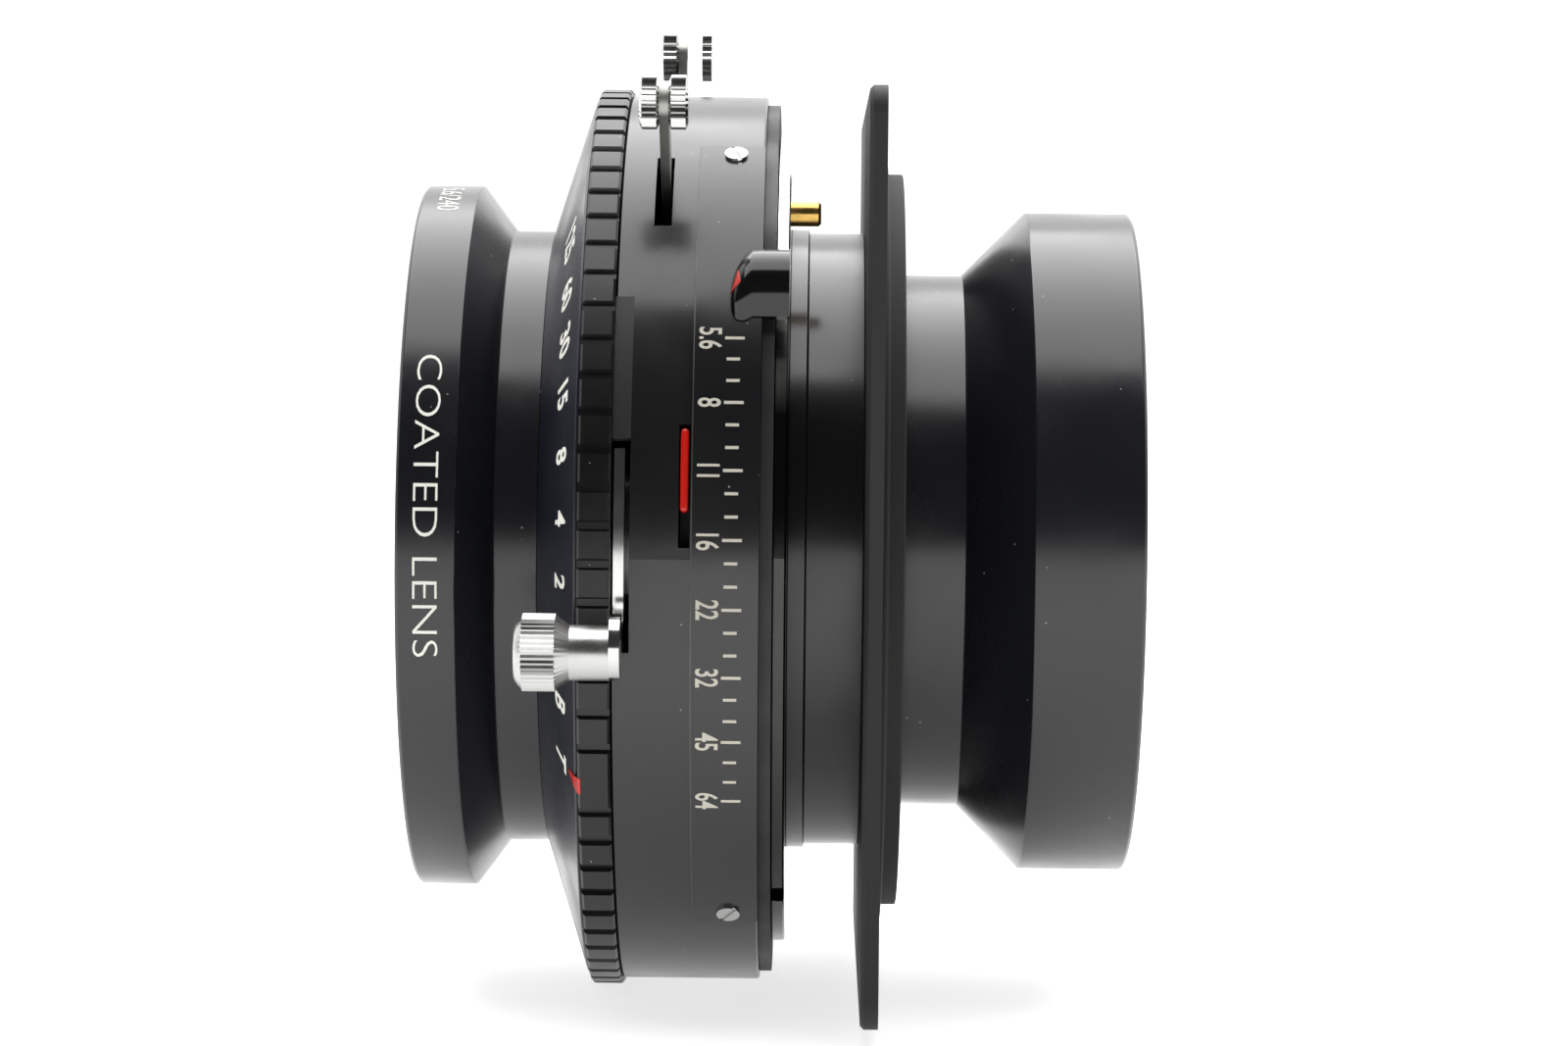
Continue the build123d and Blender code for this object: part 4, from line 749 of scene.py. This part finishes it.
# %% Engrave the speed dial
dial = section("front_plate")
cone_tip = max((tuple(p) for p in dial if p[0] < dial[:, 0].min() + 0.01 * mm), key=lambda p: p[1])
cone_rim = min((tuple(p) for p in dial if p[1] > dial[:, 1].max() - 0.01 * mm))
cone_slope = (cone_rim[0] - cone_tip[0], cone_rim[1] - cone_tip[1])
up_the_cone = 0.62
dial_radius = cone_tip[1] + up_the_cone * cone_slope[1]
dial_station = cone_tip[0] + up_the_cone * cone_slope[0]
speed_height = 4.0 * mm
speeds = (("125", 48.0), ("60", 38.0), ("30", 30.2), ("15", 22.3), ("8", 13.5), ("4", 5.0),
          ("2", -3.5), ("1", -12.0), ("B", -20.5), ("T", -29.0))
inscription(
    "speed_figures", [(text, dial_station, dial_radius, clock) for text, clock in speeds],
    speed_height, cone_slope, "body", white_fill, bold=0.022, narrow=0.62)
print(len(speeds), "speeds on the dial")

# %% [markdown]
# ## The red index of the speed ring
# The ring's index is a red wedge that bends from the dial's cone over the ring's front edge. It's a
# ribbon: a path of (station, radius) points lifted off the metal, with a width at each point.

# %% Fold the red index over the ring's edge
def ribbon(name, path, half_widths, clock, thickness, material, body):
    """Closed flat ribbon across the ring: each row has four corners, clock +- half width."""
    x, r = np.array(path).T[:, :, None]
    half = np.radians(np.array(half_widths))[:, None]
    side = np.array([1, 1, -1, -1])
    up = np.array([0, 1, 1, 0])
    points = at(x - 0.7 * thickness * up, r + 0.7 * thickness * up, radians(clock) + side * half)
    made = piece(name, points, closed_ends(len(path), 4), material, body)
    made.data.shade_flat()
    return made


edge_station = cone_rim[0] + 0.37 * mm
index_clock, index_thickness = -28.3, 0.06 * mm
index_path = [
    (edge_station - 1.05 * mm, speed_radius - 3.1 * mm),
    (edge_station - 0.45 * mm, speed_radius - 1.15 * mm),
    (edge_station, speed_radius - 0.2 * mm), (edge_station + 0.3 * mm, speed_radius + 0.01 * mm)]
index_half_widths = [0.22, 0.75, 1.1, 1.1]
ribbon("speed_index", index_path, index_half_widths, index_clock, index_thickness, red_enamel,
       "speed_ring")
print("index at station", round(edge_station / mm, 2), "mm")

# %% [markdown]
# ## The studio
# A white table, a large soft light overhead and a dark room behind the viewer: that's what black
# anodising needs, because one sees only what it mirrors. The sky is pale behind the lens and dark in
# front of it, and the camera itself sees plain white. The table is a plain wide plane that glows with
# its own light, which lightens its shadow and keeps it white far away.

# %% Lay the table and hang the light
table_size = 6.0
soft_light_size = (1.7, 1.9)
soft_light_place = (0.0, 0.35, 1.15)
soft_light_power = 34.0
near_glow, far_glow = 0.75, 1.2
front_sky, back_sky, seen_sky = 0.05, 1.6, 1.3

table_mesh = bpy.data.meshes.new("table")
corner = table_size / 2
table_mesh.from_pydata([(-corner, -corner, cad_low.z), (corner, -corner, cad_low.z),
                        (corner, corner, cad_low.z), (-corner, corner, cad_low.z)], [], [(0, 1, 2, 3)])
table_top, tree, shader = new_material("lit_and_self_glowing_white_table", Base_Color=linear("#c6c6c4"), Roughness=0.9,
                                       IOR=1.4)
shader.inputs["Emission Color"].default_value = linear("#ffffff")
place = node(tree, "ShaderNodeTexCoord").outputs["Object"]
distance = node(tree, "ShaderNodeVectorMath", {0: place}, operation="LENGTH").outputs["Value"]
# the table glows with its own light, less near the lens and more far away: the glow lightens its shadow to
# a soft grey and keeps the far table white
tree.links.new(ramp(tree, distance, 0.2, 0.9, near_glow, far_glow), shader.inputs["Emission Strength"])
table_mesh.materials.append(table_top)
table = bpy.data.objects.new("table", table_mesh)

soft = bpy.data.lights.new("soft_light", "AREA")
soft.shape = "RECTANGLE"
soft.size, soft.size_y = soft_light_size
soft.energy = soft_light_power
soft_light = bpy.data.objects.new("soft_light", soft)
soft_light.location = soft_light_place
for obj in (table, soft_light):
    bpy.context.scene.collection.objects.link(obj)

world = bpy.data.worlds.new("room")
world.use_nodes = True
bpy.context.scene.world = world
tree = world.node_tree
tree.nodes.clear()
direction = node(tree, "ShaderNodeTexCoord").outputs["Generated"]
toward_back = node(tree, "ShaderNodeSeparateXYZ", {0: direction}).outputs[1]
pale = ramp(tree, toward_back, -0.15, 0.35, front_sky, back_sky)
seen = node(tree, "ShaderNodeLightPath").outputs["Is Camera Ray"]
level = node(tree, "ShaderNodeMix", {"Factor": seen, "A": pale, "B": seen_sky}, data_type="FLOAT")
sky = node(tree, "ShaderNodeBackground", {"Color": linear("#ffffff"), "Strength": level.outputs["Result"]})
node(tree, "ShaderNodeOutputWorld", {"Surface": sky.outputs[0]})
bpy.context.scene.view_settings.view_transform = "Standard"
print("table at z =", round(cad_low.z / mm, 2), "mm")
